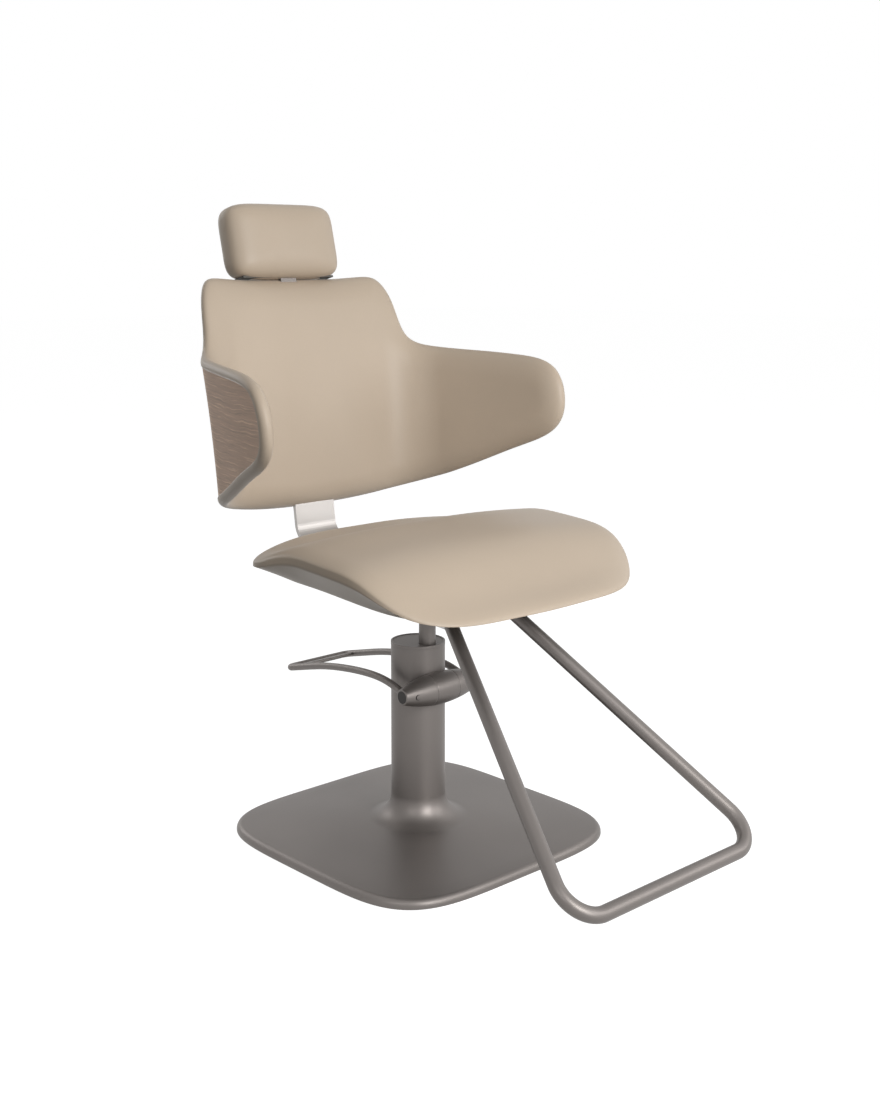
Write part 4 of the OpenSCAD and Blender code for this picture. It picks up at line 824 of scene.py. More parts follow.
@dataclass
class PumpLever:
    """The lever's spindle and its loop with the flattened pedal."""

    shaft_y: float = -52.0
    shaft_z: float = 257.5
    half: float = 81.5
    # Length of the fixed barrel, and its gap from each hub
    barrel: float = 48.0
    gap: float = 0.3
    middle_r: float = 26.2
    end_r: float = 12.4
    rod_r: float = 6.0
    arm_x: float = 69.0
    pin_x: float = 62.0
    pin_r: float = 4.6
    pedal_x: float = 66.0
    pedal_y: float = 270.0
    pedal_z: float = 236.5
    pad_long: float = 27.0
    pad_thick: float = 5.0
    pad_round: float = 1.6
    pad_round_steps: int = 6
    pad_rings: int = 12
    # How far behind the shaft an arm starts
    start: float = 6.2
    corner: float = 14.0
    corner_steps: int = 12
    # Gap in the line before a corner, and the point from the end that gives its way in
    corner_room: float = 1.0
    corner_point: int = -4
    ease: float = 0.25
    turn_steps: int = 33
    span_steps: int = 10
    # The shaft's dark ends: how much thinner than the hub, how deep and how far out
    shaft_less: float = 2.2
    shaft_in: float = 1.0
    shaft_out: float = 0.25
    # The rings round the pins: wall, how deep and how far out
    head_wall: float = 0.8
    head_in: float = 2.0
    head_out: float = 0.15
    # An arm's way back and its height, as shares of its length
    arch: list[tuple[float, float]] = field(default_factory=lambda: [
        (0, 0), (0.14, 0.048), (0.30, 0.054), (0.50, 0.038), (0.68, 0.012), (0.85, -0.03)])

    def radius(self, x: float) -> float:
        """Finds the spindle's radius.

        Args:
            x: distance from its middle.

        Returns:
            The radius.
        """
        drop = self.middle_r - self.end_r
        arc = (self.half ** 2 + drop ** 2) / (2 * drop)
        return self.middle_r - arc + math.sqrt(arc * arc - x * x)

    def arm(self, side: int) -> np.ndarray:
        """Draws one arm's middle line, from its hub to the pedal's corner.

        Args:
            side: 1 for the left arm, -1 for the right one.

        Returns:
            The line's points.
        """
        long = self.pedal_y - self.shaft_y
        way = long - self.start
        guides = [(side * (self.arm_x + (self.pedal_x - self.arm_x) * q),
                   self.shaft_y + self.start + way * q, self.shaft_z + long * h)
                  for q, h in self.arch]
        guides.append((side * self.pedal_x, self.pedal_y, self.pedal_z))
        return open_curve(np.array(guides), self.span_steps)

    def rounded(self, a: np.ndarray, b: np.ndarray, c: np.ndarray) -> list[np.ndarray]:
        """Rounds one corner of the loop.

        Args:
            a: a point on the line before the corner.
            b: the corner.
            c: a point on the line after it.

        Returns:
            The points of the round corner.
        """
        u, v = (a - b) / np.linalg.norm(a - b), (c - b) / np.linalg.norm(c - b)
        return [b + self.corner * (u * (1 - q) ** 2 + v * q * q)
                for q in np.linspace(0, 1, self.corner_steps)]

    def loop_line(self) -> np.ndarray:
        """Draws the whole loop's middle line.

        Returns:
            The line's points.
        """
        left, right = self.arm(1), self.arm(-1)
        room = self.corner + self.corner_room
        keep = [p for p in left if np.linalg.norm(p - left[-1]) > room]
        back = [p for p in right if np.linalg.norm(p - right[-1]) > room][::-1]
        before, after = left[self.corner_point], right[self.corner_point]
        return np.array(keep + self.rounded(before, left[-1], right[-1])
                        + self.rounded(left[-1], right[-1], after) + back)

    def spindle(self, name: str, low: float, high: float) -> bpy.types.Object:
        """Turns one stretch of the spindle.

        Args:
            name: the piece's name.
            low: its lower end along X.
            high: its upper end along X.

        Returns:
            The piece.
        """
        profile = [(0.0, low), (self.radius(low) - self.ease, low)]
        profile += [(self.radius(float(x)), float(x))
                    for x in np.linspace(low + self.ease, high - self.ease, self.turn_steps)]
        profile += [(self.radius(high) - self.ease, high), (0.0, high)]
        made = lathe(name, profile, (0, self.shaft_y, self.shaft_z), METAL, along_x=True)
        return sharpen(made, degrees=50)

    def pad(self) -> None:
        """Makes the pedal's flat, which fills the loop's far end between the rods."""
        line = self.arm(1)
        back = line[np.argmin(np.abs(line[:, 1] - (self.pedal_y - self.pad_long)))]
        along = (line[-1] - back)[1:] / np.linalg.norm((line[-1] - back)[1:])
        up = np.array([-along[1], along[0]])
        half = self.pad_thick / 2
        section = np.array(rounded_profile([(-self.pad_long, -half), (0.0, -half), (0.0, half),
                                            (-self.pad_long, half)], self.pad_round,
                                           self.pad_round_steps))
        flat = line[-1][1:] + section[:, :1] * along + section[:, 1:] * up
        rings = [np.column_stack([np.full(len(flat), x), flat])
                 for x in np.linspace(-self.pedal_x, self.pedal_x, self.pad_rings)]
        made = outward(piece("pedal_flat", *skin(np.array(rings)), METAL))
        sharpen(made, degrees=50)
        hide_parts("pedal_pad")
        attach(made, Body.LEVER.value)

    def ends(self) -> None:
        """Makes the spindle's barrel and hubs, the shaft's dark ends and the rings of the pins."""
        side = self.barrel / 2
        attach(self.spindle("spindle_barrel", -side, side), Body.BASE.value)
        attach(self.spindle("spindle_hub_left", side + self.gap, self.half), Body.LEVER.value)
        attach(self.spindle("spindle_hub_right", -self.half, -side - self.gap), Body.LEVER.value)
        shaft_r, head_r = self.end_r - self.shaft_less, self.radius(self.pin_x)
        inner, outer = self.half - self.shaft_in, self.half + self.shaft_out
        low, high, hole = head_r - self.head_in, head_r + self.head_out, self.pin_r - self.head_wall
        for sign, word in ((1, "left"), (-1, "right")):
            shaft_end = lathe(f"shaft_end_{word}",
                              [(0.0, inner), (shaft_r, inner), (shaft_r, outer), (0.0, outer)],
                              (0, self.shaft_y, self.shaft_z), SHAFT_END, along_x=True, steps=64)
            pin = lathe(f"pin_ring_{word}",
                        [(hole, low), (self.pin_r, low), (self.pin_r, high), (hole, high)],
                        (0, 0, 0), SHAFT_END, steps=48)
            pin.data.transform(Matrix.Translation(Vector((sign * self.pin_x, self.shaft_y,
                                                          self.shaft_z)) * MM)
                               @ Matrix.Rotation(math.pi / 2, 4, "X"))
            if sign < 0:
                shaft_end.data.transform(Matrix.Scale(-1, 4, (1, 0, 0)))
            for made in (outward(shaft_end), outward(pin)):
                sharpen(made, degrees=40)
                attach(made, Body.LEVER.value)

    def build(self, sweep: Sweep) -> None:
        """Makes the loop, the spindle and the pedal's flat.

        Args:
            sweep: the tree that makes round stock.
        """
        loop = sweep.make("lever_rod", self.loop_line(), self.rod_r, METAL, sides=32)
        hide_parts("lever_loop")
        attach(loop, Body.LEVER.value)
        self.ends()
        self.pad()
        log.info("lever: %d faces", len(loop.data.polygons))


@dataclass
class Seat:
    """The saddle seat: a raised crease at each side and a front that falls away."""

    z: float = 452.0
    slope: float = 0.07
    half: float = 284.0
    depth: float = 470.0
    front: float = 302.0
    side_h: float = 61.0
    rear_h: float = 26.0
    crown: float = 14.0
    roll: float = 10.5
    undercut: float = 49.0
    # Where the top starts to roll over, and how high on the side the leather turns under
    roll_share: float = 0.88
    turn_share: float = 0.8
    per_span: int = 22
    # Where the sides are highest and how far they fall away, as shares of the depth
    peak: float = 0.44
    back_reach: float = 0.281
    front_reach: float = 0.306
    middle: float = 0.01
    top_rings: int = 30
    roll_rings: int = 15
    # The turned edge: its least height, what is added to it and its least step from the top
    turned_least: float = 3.0
    turned_more: float = 1.0
    step_least: float = 0.4
    # Where the side meets the underside
    foot_share: float = 0.985
    foot_rise: float = 3.0
    foot_rings: int = 14
    under_rise: float = 1.2
    under_shares: tuple[float, ...] = (0.97, 0.95, 0.9, 0.7, 0.4, 0.05)
    # Guide points of the half outline, as shares of the half width and the depth
    shares: list[tuple[float, float]] = field(default_factory=lambda: [
        (0, 1), (0.335, 1.004), (0.67, 0.947), (1.06, 0.806), (0.982, 0.63),
        (1.011, 0.325), (0.954, 0.143), (0.655, 0.015), (0.303, 0.008), (0, -0.002)])

    def outline(self) -> np.ndarray:
        """Draws the closed outline in plan.

        Returns:
            The outline's points.
        """
        guides = np.array([(x * self.half, y * self.depth - self.front) for x, y in self.shares])
        right = half_curve(guides, self.per_span)
        return np.vstack([right, right[-2:0:-1] * np.array([-1, 1])])

    def low(self, y: np.ndarray) -> np.ndarray:
        """Returns the height of the underside."""
        return self.z + self.slope * y

    def side(self, y: np.ndarray) -> np.ndarray:
        """Finds the height of the seat's edge over its underside.

        Args:
            y: places behind the column's axis.

        Returns:
            The heights.
        """
        d = y - (self.peak * self.depth - self.front)
        reach = self.depth * np.where(d > 0, self.back_reach, self.front_reach)
        base = np.where(d > 0, self.rear_h, 0.0)
        return base + (self.side_h - base) * np.exp(-(np.abs(d) / reach) ** 4)

    def ring(self, share: float, undercut: float = 0.0) -> np.ndarray:
        """Draws the outline in towards its middle.

        Args:
            share: 1 for the outline, 0 for its middle.
            undercut: how much narrower it is on each side.

        Returns:
            The ring's points in plan.
        """
        loop = self.outline()
        mid = self.depth / 2 - self.front
        return np.stack([loop[:, 0] * share * (1 - undercut / self.half),
                         mid + (loop[:, 1] - mid) * share], axis=1)

    def top_ring(self, share: float) -> np.ndarray:
        """Draws one ring of the top face.

        Args:
            share: 1 for the outline, 0 for its middle.

        Returns:
            The ring's points.
        """
        flat = self.ring(share)
        fall = 1.0 if share < self.roll_share else math.sqrt(
            max(0.0, 1 - ((share - self.roll_share) / (1 - self.roll_share)) ** 2))
        z = (self.low(flat[:, 1]) + self.side(flat[:, 1]) + self.crown * (1 - share ** 2)
             + self.roll * fall)
        return np.column_stack([flat, z])

    def under_ring(self, share: float) -> np.ndarray:
        """Draws one ring of the underside.

        Args:
            share: 1 for the outline, 0 for its middle.

        Returns:
            The ring's points.
        """
        flat = self.ring(share, self.undercut)
        rise = self.under_rise if share == self.under_shares[0] else 0.0
        return np.column_stack([flat, self.low(flat[:, 1]) + rise])

    def rings(self) -> np.ndarray:
        """Draws all rings, from the middle of the top to the middle of the underside.

        Returns:
            The rings' points.
        """
        inner = np.linspace(self.middle, self.roll_share, self.top_rings)
        rolled = self.roll_share + (1 - self.roll_share) * np.sin(
            np.linspace(0, math.pi / 2, self.roll_rings))[1:]
        rings = [self.top_ring(float(k)) for k in (*inner, *rolled)]
        edge = rings[-1]
        turned = (self.low(edge[:, 1]) + np.maximum(self.turn_share * self.side(edge[:, 1]),
                                                    self.turned_least) + self.turned_more)
        foot = np.column_stack([self.ring(self.foot_share, self.undercut),
                                self.low(self.ring(self.foot_share)[:, 1]) + self.foot_rise])
        neck = edge.copy()
        neck[:, 2] = np.minimum(turned, edge[:, 2] - self.step_least)
        rings += [edge * (1 - q) + neck * q for q in (0.35, 0.7, 1.0)]
        rings += [neck * (1 - q) + foot * q for q in np.linspace(0.08, 1, self.foot_rings)]
        rings += [self.under_ring(share) for share in self.under_shares]
        return np.array(rings)

    def build(self) -> None:
        """Makes the upholstered seat."""
        made = outward(piece("seat_upholstery", *skin(self.rings()), HIDE))
        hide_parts("seat_cushion")
        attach(made, Body.SEAT.value)
        log.info("seat: %d faces", len(made.data.polygons))


@dataclass
class Back:
    """The wrap-round back: leather over the front and edge, veneer let into the outside."""

    mid_z: float = 700.0
    y: float = 300.0
    lean: float = 8.6
    splay: float = 3.2
    bow: float = 11.6
    half: float = 22.0
    height: float = 403.0
    # Length round the back from its middle to the arm's tip
    wrap: float = 527.0
    panel_r: float = 610.0
    turn_r: float = 130.0
    turn: float = 55.5
    bead: float = 13.0
    edge_r: float = 11.0
    mid_depth: float = 33.0
    arm_depth: float = 17.0
    roll: float = 45.0
    wood: float = 8.0
    drop: float = 1.5
    recess: float = 10.1
    crown: float = 5.0
    wood_gap: float = 0.8
    low_share: float = 0.4565
    # The middle panel's share of the wrap, and the arm's radius over the panel's
    panel_share: float = 0.294
    arm_share: float = 3.2
    # Length over which the arms start to splay, and height over which the bow is measured
    flare: float = 150.0
    bow_span: float = 200.0
    # Where the front leather starts to thin, as a share of the middle panel
    thin_from: float = 0.4
    lip: float = 1.2
    # The recess's ends and its depth where its borders have closed over it
    shut: tuple[float, float, float] = (0.46, 0.54, 0.02)
    # Least length of a column
    least: float = 0.5
    # The wood's eased edge, and its greatest share of a short column
    wood_ease: float = 0.7
    wood_ease_share: float = 0.2
    # A fine bright line at the wood's edge, as painted highlight on its rim: its radius and how far it
    # stands out
    highlight_line_r: float = 0.6
    highlight_line_out: float = 0.1
    # Columns of the half back, their crowding to the arm's tip and the last one's share
    columns: int = 170
    crowd: float = 0.85
    last: float = 0.9992
    # Columns round the place where a border closes
    near: tuple[float, ...] = (-0.02, -0.012, -0.007, -0.004, -0.002, -0.001, -0.0004, -0.0001)
    past: float = 0.0003
    # Points of a section: the front, each edge, the recess's floor and the wood's two faces
    face: int = 60
    edge: int = 12
    floor: int = 30
    outer_steps: int = 32
    inner_steps: int = 14
    per_span: int = 40
    # Guide points of the half outline, as shares of the wrap and the height
    shares: list[tuple[float, float]] = field(default_factory=lambda: [
        (0, 1.002), (0.11, 1.002), (0.21, 1.004), (0.31, 1.016), (0.357, 1.012),
        (0.396, 0.905), (0.407, 0.722), (0.49, 0.692), (0.631, 0.684), (0.841, 0.672),
        (0.994, 0.645), (1.004, 0.4), (0.914, 0.306), (0.793, 0.256), (0.545, 0.113),
        (0.287, 0.02), (0, 0)])

    def __post_init__(self) -> None:
        """Splits the outline at the arm's tip and finds where the recess and the wood end."""
        guides = np.array([(s * self.wrap, self.mid_z - self.height * self.low_share
                            + v * self.height) for s, v in self.shares])
        self.line = half_curve(guides, self.per_span)
        tip = int(np.argmax(self.line[:, 0]))
        self.tables = [(self.travel(part), part)
                       for part in (self.line[:tip + 1], self.line[:tip - 1:-1])]
        self.level = self.half - self.edge_r
        self.recess_end = self.share_where(self.bead)
        self.wood_end = self.share_where(self.bead + self.wood_gap)

    @staticmethod
    def travel(line: np.ndarray) -> np.ndarray:
        """Returns the share of a line's length at each of its points."""
        steps = np.concatenate([[0], np.cumsum(np.linalg.norm(np.diff(line, axis=0), axis=1))])
        return steps / steps[-1]

    def ends(self, u: float) -> tuple[np.ndarray, np.ndarray]:
        """Returns a column's upper and lower end at a share of the outline's length."""
        return tuple(np.array([np.interp(u, shares, line[:, 0]), np.interp(u, shares, line[:, 1])])
                     for shares, line in self.tables)

    def inset(self, points: np.ndarray) -> np.ndarray:
        """Measures how far points are from the outline.

        Args:
            points: points on the outline's map.

        Returns:
            Their distances.
        """
        a, d = self.line[:-1], np.diff(self.line, axis=0)
        gap = points[:, None, :] - a[None]
        t = np.clip((gap * d).sum(2) / np.maximum((d * d).sum(1), LEAST_DIVISOR), 0, 1)
        return np.linalg.norm(gap - t[..., None] * d, axis=2).min(axis=1)

    @staticmethod
    def halve(low: float, high: float, rounds: int,
              is_before: Callable[[float], bool]) -> tuple[float, float]:
        """Closes in on the place where a test changes.

        Args:
            low: a value before the place.
            high: a value past it.
            rounds: how often the span is halved.
            is_before: the test, true before the place.

        Returns:
            The last values before and past the place.
        """
        for _ in range(rounds):
            mid = (low + high) / 2
            if is_before(mid):
                low = mid
            else:
                high = mid
        return low, high

    def share_where(self, width: float) -> float:
        """Finds where a border along the outline closes on itself.

        Args:
            width: the border's width.

        Returns:
            The share of the outline's length.
        """
        def is_open(share: float) -> bool:
            """Returns whether the border leaves a column's middle free."""
            a, b = self.ends(share)
            return self.inset((a + b)[None] / 2)[0] > width

        return self.halve(0.5, 1.0, 40, is_open)[0]

    def crossing(self, a: np.ndarray, b: np.ndarray, width: float) -> float:
        """Finds where a border ends on its way down a column.

        Args:
            a: the column's end where the border starts.
            b: its other end.
            width: the border's width.

        Returns:
            The share of the column's length.
        """
        def is_border(share: float) -> bool:
            """Returns whether a place on the column is still inside the border."""
            return self.inset((a + (b - a) * share)[None])[0] < width

        return self.halve(0.0, 0.5, 30, is_border)[1]

    def shares_to(self, last: float, steps: tuple[float, ...]) -> list[float]:
        """Lists the columns' shares, crowded before a place where a border closes.

        Args:
            last: the place.
            steps: distances from it, in order, at which columns stand close.

        Returns:
            The shares.
        """
        base = [(i / self.columns) ** self.crowd * self.last for i in range(self.columns + 1)]
        near = [last + k for k in steps]
        return sorted([u for u in base if u < near[0] or u > near[-1]] + near)

    @staticmethod
    def rounding(x: np.ndarray) -> np.ndarray:
        """Returns the height of a round edge at a share of its width."""
        return np.sqrt(1 - (1 - np.clip(x, 0, 1)) ** 2)

    @staticmethod
    def arc(r: float, start: float, end: float) -> np.ndarray:
        """Returns the step in plan from one angle of an arc to another."""
        return r * np.array([math.sin(end) - math.sin(start), math.cos(end) - math.cos(start)])

    def place(self, s: float, z: float, w: float) -> tuple[float, float, float]:
        """Places a point of the shell.

        Args:
            s: length round the shell from its middle.
            z: height.
            w: depth behind the middle surface.

        Returns:
            The point in space.
        """
        a, sign = abs(s), math.copysign(1, s)
        panel = self.wrap * self.panel_share
        curl = self.turn_r * math.radians(self.turn)
        arm_r = self.panel_r * self.arm_share
        t1 = panel / self.panel_r
        t2 = t1 + math.radians(self.turn)
        p1 = self.arc(self.panel_r, 0.0, t1)
        if a <= panel:
            t = a / self.panel_r
            p = self.arc(self.panel_r, 0.0, t)
        elif a <= panel + curl:
            t = t1 + (a - panel) / self.turn_r
            p = p1 + self.arc(self.turn_r, t1, t)
        else:
            t = t2 + (a - panel - curl) / arm_r
            p = p1 + self.arc(self.turn_r, t1, t2) + self.arc(arm_r, t2, t)
        rise = z - self.mid_z
        out = self.ease((a - panel) / self.flare) * rise * math.tan(math.radians(self.splay))
        return (sign * (p[0] + w * math.sin(t) + out),
                self.y + p[1] + w * math.cos(t) + rise * math.tan(math.radians(self.lean))
                + self.bow * (rise / self.bow_span) ** 2, z)

    @staticmethod
    def ease(x: float) -> float:
        """Returns a smooth step from 0 to 1."""
        u = min(1.0, max(0.0, x))
        return u * u * (3 - 2 * u)

    def front(self, points: np.ndarray, q: np.ndarray, long: float) -> np.ndarray:
        """Finds the depth of the front leather at points of one column.

        Args:
            points: the points on the outline's map.
            q: their shares of the column's length.
            long: the column's length.

        Returns:
            The depths.
        """
        panel = self.wrap * self.panel_share
        thin = self.ease((abs(float(points[0, 0])) - self.thin_from * panel) / panel)
        depth = self.mid_depth + (self.arm_depth - self.mid_depth) * thin
        return (self.level - depth * self.rounding(self.inset(points) / self.roll)
                - self.crown * min(1.0, long / self.height) * 4 * q * (1 - q))

    def loop(self, u: float) -> tuple[np.ndarray, np.ndarray]:
        """Returns the closed section of the leather at one column.

        Args:
            u: the column's share of the outline's length.

        Returns:
            Points on the outline's map, and their depths.
        """
        a, b = self.ends(u)
        long = max(float(np.linalg.norm(a - b)), self.least)
        if u < self.recess_end:
            hi, lo = self.crossing(a, b, self.bead), 1 - self.crossing(b, a, self.bead)
            deep = self.recess
        else:
            hi, lo, deep = self.shut
        lip = min(self.lip, deep)
        ease = (1 - np.cos(np.linspace(0, math.pi / 2, self.edge + 1)))
        down = (1 - np.cos(np.linspace(0, math.pi, self.face + 1))) / 2
        q_top, q_low = hi * ease, 1 - (1 - lo) * ease[::-1]
        behind = []
        for q in (q_top, q_low):
            flat = a + (b - a) * q[:, None]
            behind.append(self.level + self.edge_r * self.rounding(self.inset(flat) / self.edge_r))
        flat = a + (b - a) * down[:, None]
        face = self.front(flat, down, long)
        face[0] = face[-1] = self.level
        floor = np.linspace(lo, hi, self.floor + 1)
        top_edge, low_edge = behind[0][-1], behind[1][0]
        qs = np.concatenate([q_top[::-1][:-1], down, q_low[::-1][1:], [lo], floor, [hi]])
        ws = np.concatenate([behind[0][::-1][:-1], face, behind[1][::-1][1:], [low_edge - lip],
                             np.full(self.floor + 1, min(top_edge, low_edge) - deep),
                             [top_edge - lip]])
        return a + (b - a) * qs[:, None], ws

    def leather(self) -> None:
        """Makes the leather over the front and the edge."""
        us = self.shares_to(self.recess_end, (*self.near, self.past))
        half = [self.loop(u) for u in us]
        rings = [[self.place(p[0], p[1], w) for p, w in zip(*one)] for one in half[::-1]]
        rings += [[self.place(-p[0] - TINY, p[1], w) for p, w in zip(*one)] for one in half[1:]]
        made = outward(piece("back_upholstery", *skin(np.array(rings)), HIDE))
        sharpen(made, degrees=60)
        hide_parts("back_cushion")
        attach(made, Body.SEAT.value)
        log.info("back leather: %d faces", len(made.data.polygons))

    def wood_section(self, u: float) -> np.ndarray:
        """Draws the closed section of the wood at one column.

        Args:
            u: the column's share of the outline's length.

        Returns:
            Points on the outline's map: down the outer face and up the inner one.
        """
        a, b = self.ends(u)
        long = max(float(np.linalg.norm(a - b)), self.least)
        hi = self.crossing(a, b, self.bead + self.wood_gap)
        lo = 1 - self.crossing(b, a, self.bead + self.wood_gap)
        step = min(self.wood_ease / long, self.wood_ease_share * (lo - hi))
        down = np.linspace(hi + step, lo - step, self.outer_steps)[1:-1]
        up = np.linspace(lo, hi, self.inner_steps)[1:-1]
        qs = np.concatenate([[hi, hi, hi + step], down, [lo - step, lo, lo], up])
        return a + (b - a) * qs[:, None]

    def veneer(self, sweep: Sweep) -> None:
        """Makes the wooden shell with its map, and a fine bright steel line round it as painted
        highlight on the wood's rim.

        Args:
            sweep: the tree that makes round stock.
        """
        outer, inner = self.half - self.drop, self.half - self.drop - self.wood
        eased = outer - self.wood_ease
        ws = np.array([inner, eased, outer] + [outer] * (self.outer_steps - 2)
                      + [outer, eased, inner] + [inner] * (self.inner_steps - 2))
        us = [u for u in self.shares_to(self.wood_end, self.near) if u <= self.wood_end]
        rows, maps, top, low = [], [], [], []
        for sign, some in ((1.0, us[::-1]), (-1.0, us[1:])):
            for u in some:
                flat = self.wood_section(u) * (sign, 1)
                rows.append([self.place(p[0] + sign * TINY, p[1], w) for p, w in zip(flat, ws)])
                maps.append(flat * MM)
                top.append(self.place(*flat[1], outer + self.highlight_line_out))
                low.append(self.place(*flat[self.outer_steps + 2], outer + self.highlight_line_out))
        made = piece("veneer_shell", *skin(np.array(rows)), WOOD)
        layer = made.data.uv_layers.new(name="UVMap")
        flat_map = np.array(maps).reshape(-1, 2)
        corners = np.empty(len(made.data.loops), dtype=np.int64)
        made.data.loops.foreach_get("vertex_index", corners)
        layer.data.foreach_set("uv", flat_map[corners].astype(np.float32).ravel())
        sharpen(outward(made), degrees=40)
        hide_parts("back_shell")
        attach(made, Body.SEAT.value)
        # A thin steel line round the wood's edge, as painted highlight on the wood's rim
        highlight_line = sweep.make("veneer_edge_highlight", np.array(top + low[::-1]), self.highlight_line_r, STRAP_METAL,
                          sides=10, loop=True)
        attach(highlight_line, Body.SEAT.value)
        log.info("veneer: %d faces", len(made.data.polygons))

    def build(self, sweep: Sweep) -> None:
        """Makes the back's leather, wood and the bright line that paints the highlight round the wood.
        """
        self.leather()
        self.veneer(sweep)


@dataclass
class Headrest:
    """The small pillow on its sliding stem."""

    width: float = 233.0
    height: float = 137.0
    thick: float = 86.0
    y: float = 374.0
    z: float = 986.8
    lean: float = 14.0
    # Powers of the pillow's rounding from face to face and round its outline
    bulge: float = 2.9
    square: float = 6.0
    around: int = 192
    layers: int = 61
    # The outermost layer's share of the half thickness
    end: float = 0.9995

    def build(self) -> None:
        """Makes the pillow."""
        turn = np.linspace(0, 2 * math.pi, self.around, endpoint=False)
        across, up = (np.sign(wave) * np.abs(wave) ** (2 / self.square)
                      for wave in (np.cos(turn), np.sin(turn)))
        rings = []
        for q in np.sin(np.linspace(-math.pi / 2, math.pi / 2, self.layers)) * self.end:
            k = (1 - abs(q) ** self.bulge) ** (1 / self.bulge)
            rings.append(np.column_stack([self.width / 2 * k * across,
                                          np.full(len(turn), q * self.thick / 2),
                                          self.height / 2 * k * up]))
        flat = np.array(rings)
        c, s = math.cos(math.radians(self.lean)), math.sin(math.radians(self.lean))
        placed = np.stack([flat[..., 0], self.y + flat[..., 1] * c + flat[..., 2] * s,
                           self.z - flat[..., 1] * s + flat[..., 2] * c], axis=-1)
        made = outward(piece("headrest_pillow", *skin(placed), HIDE))
        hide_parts("headrest_cushion")
        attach(made, Body.HEADREST.value)
        log.info("headrest: %d faces", len(made.data.polygons))


# Studio


def point_along(made: bpy.types.Object, place: tuple[float, float, float], way: Vector) -> None:
    """Places a lamp or camera and turns it.

    Args:
        made: the lamp or camera.
        place: its place.
        way: the direction it looks in.
    """
    made.location = place
    made.rotation_mode = "QUATERNION"
    made.rotation_quaternion = way.to_track_quat("-Z", "Y")


@dataclass(frozen=True)
class Lamp:
    """A square soft lamp: its place, its side in metres, its watts and where it aims."""

    name: str
    place: tuple[float, float, float]
    size: float
    power: float
    aim: tuple[float, float, float] = (0.0, 0.0, 0.6)

    def hang(self) -> None:
        """Hangs the lamp in the scene."""
        data = bpy.data.lights.new(self.name, "AREA")
        data.shape, data.size, data.energy = "SQUARE", self.size, self.power
        point_along(put(self.name, data), self.place, Vector(self.aim) - Vector(self.place))


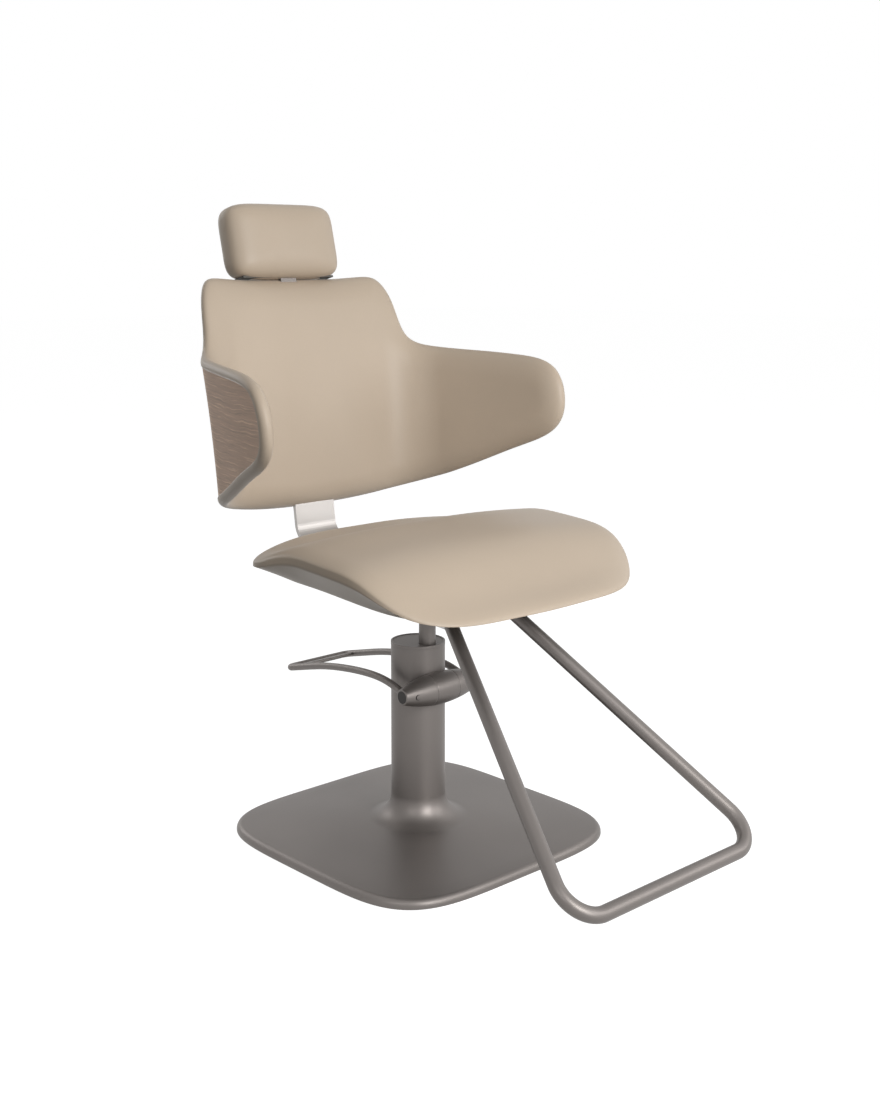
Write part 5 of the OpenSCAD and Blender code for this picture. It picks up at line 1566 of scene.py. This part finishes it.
@dataclass
class Studio:
    """Camera, lamps, floor and world. In metres, degrees and, for the lens, millimetres."""

    eye: tuple[float, float, float] = (-1.5731, -1.7470, 0.9546)
    heading: tuple[float, float] = (0.681, 0.733)
    pitch: float = 5.514
    lens: float = 47.24
    shift: float = -0.1364
    sensor: float = 36.0
    clip: tuple[float, float] = (0.05, 60.0)
    # The floor's half side, and its grey to the camera
    floor_half: float = 20.0
    pale: float = 0.25
    # Strength of the world that lights the chair, the floor's grey for the chair's light and
    # the floor's own glow for the camera
    fill: float = 0.045
    bounce: float = 0.1
    glow: float = 0.985
    lamps: tuple[Lamp, ...] = (
        Lamp("front_lamp", (-0.35, -3.0, 1.8), 1.2, 78.0),
        Lamp("low_front_lamp", (-0.2, -3.0, 0.9), 1.2, 12.0),
        Lamp("right_front_lamp", (1.8, -2.4, 1.5), 1.6, 30.0),
        Lamp("right_lamp", (2.8, -0.6, 1.5), 1.6, 6.0),
        Lamp("back_lamp", (-0.6, 2.8, 1.6), 1.4, 14.0),
        Lamp("left_lamp", (-2.6, -1.2, 1.8), 1.0, 12.0),
        Lamp("top_lamp", (-0.8, 0.6, 3.0), 1.0, 6.0))

    def camera(self) -> None:
        """Places the camera at the photograph's viewing angle."""
        data = bpy.data.cameras.new("camera")
        data.lens, data.sensor_width, data.shift_y = self.lens, self.sensor, self.shift
        data.clip_start, data.clip_end = self.clip
        down = math.radians(self.pitch)
        ahead = Vector((self.heading[0] * math.cos(down), self.heading[1] * math.cos(down),
                        -math.sin(down)))
        made = put("camera", data)
        point_along(made, self.eye, ahead)
        bpy.context.scene.camera = made

    def world(self) -> None:
        """Lights the scene evenly and shows white to the camera and in reflections."""
        made = bpy.data.worlds.new("studio")
        made.use_nodes = True
        nodes = Nodes(made.node_tree)
        dim = nodes.add("ShaderNodeBackground", {0: WHITE, 1: self.fill})
        white = nodes.add("ShaderNodeBackground", {0: WHITE, 1: 1.0})
        mixed = nodes.add("ShaderNodeMixShader", {0: nodes.seen_rays(), 1: dim.outputs[0],
                                                  2: white.outputs[0]})
        nodes.add("ShaderNodeOutputWorld", {0: mixed.outputs[0]})
        bpy.context.scene.world = made

    def floor(self) -> None:
        """Lays the pale floor, which keeps the chair's shadow."""
        mesh = bpy.data.meshes.new("floor")
        side = self.floor_half
        mesh.from_pydata([(-side, -side, 0), (side, -side, 0), (side, side, 0), (-side, side, 0)],
                         [], [(0, 1, 2, 3)])
        paint = bpy.data.materials.new("pale_floor")
        paint.use_nodes = True
        nodes = Nodes(paint.node_tree)
        diffuse = nodes.add("ShaderNodeBsdfDiffuse", {0: (*(self.bounce,) * 3, 1)})
        pale = nodes.add("ShaderNodeBsdfDiffuse", {0: (*(self.pale,) * 3, 1)})
        glow = nodes.add("ShaderNodeEmission", {0: WHITE, 1: self.glow})
        lit = nodes.add("ShaderNodeAddShader", {0: pale.outputs[0], 1: glow.outputs[0]})
        mixed = nodes.add("ShaderNodeMixShader", {0: nodes.seen_rays(), 1: diffuse.outputs[0],
                                                  2: lit.outputs[0]})
        nodes.add("ShaderNodeOutputMaterial", {0: mixed.outputs[0]})
        mesh.materials.append(paint)
        made = put("floor", mesh)

    def build(self) -> None:
        """Sets up the whole studio."""
        self.camera()
        self.world()
        self.floor()
        for lamp in self.lamps:
            lamp.hang()
        bpy.context.scene.view_settings.view_transform = "Standard"


def dress_frame() -> None:
    """Gives every carried-over node the finish of its slot."""
    slots = {part["node"]: part["material_slot"] for part in frame["record"]["subparts"]}
    for name, node in frame["nodes"].items():
        finish = NODE_FINISH.get(name, SLOT_FINISH[slots[name]])
        node.data.materials.clear()
        node.data.materials.append(finish.material())


def main() -> None:
    """Builds the chair's looks and the studio round it."""
    logging.basicConfig(level=logging.INFO, format="%(name)s %(message)s")
    Studio().build()
    dress_frame()
    sweep = Sweep()
    Foot().build()
    Column().build()
    Footrest().build(sweep)
    PumpLever().build(sweep)
    Seat().build()
    Back().build(sweep)
    Headrest().build()


if __name__ == "__main__":
    main()
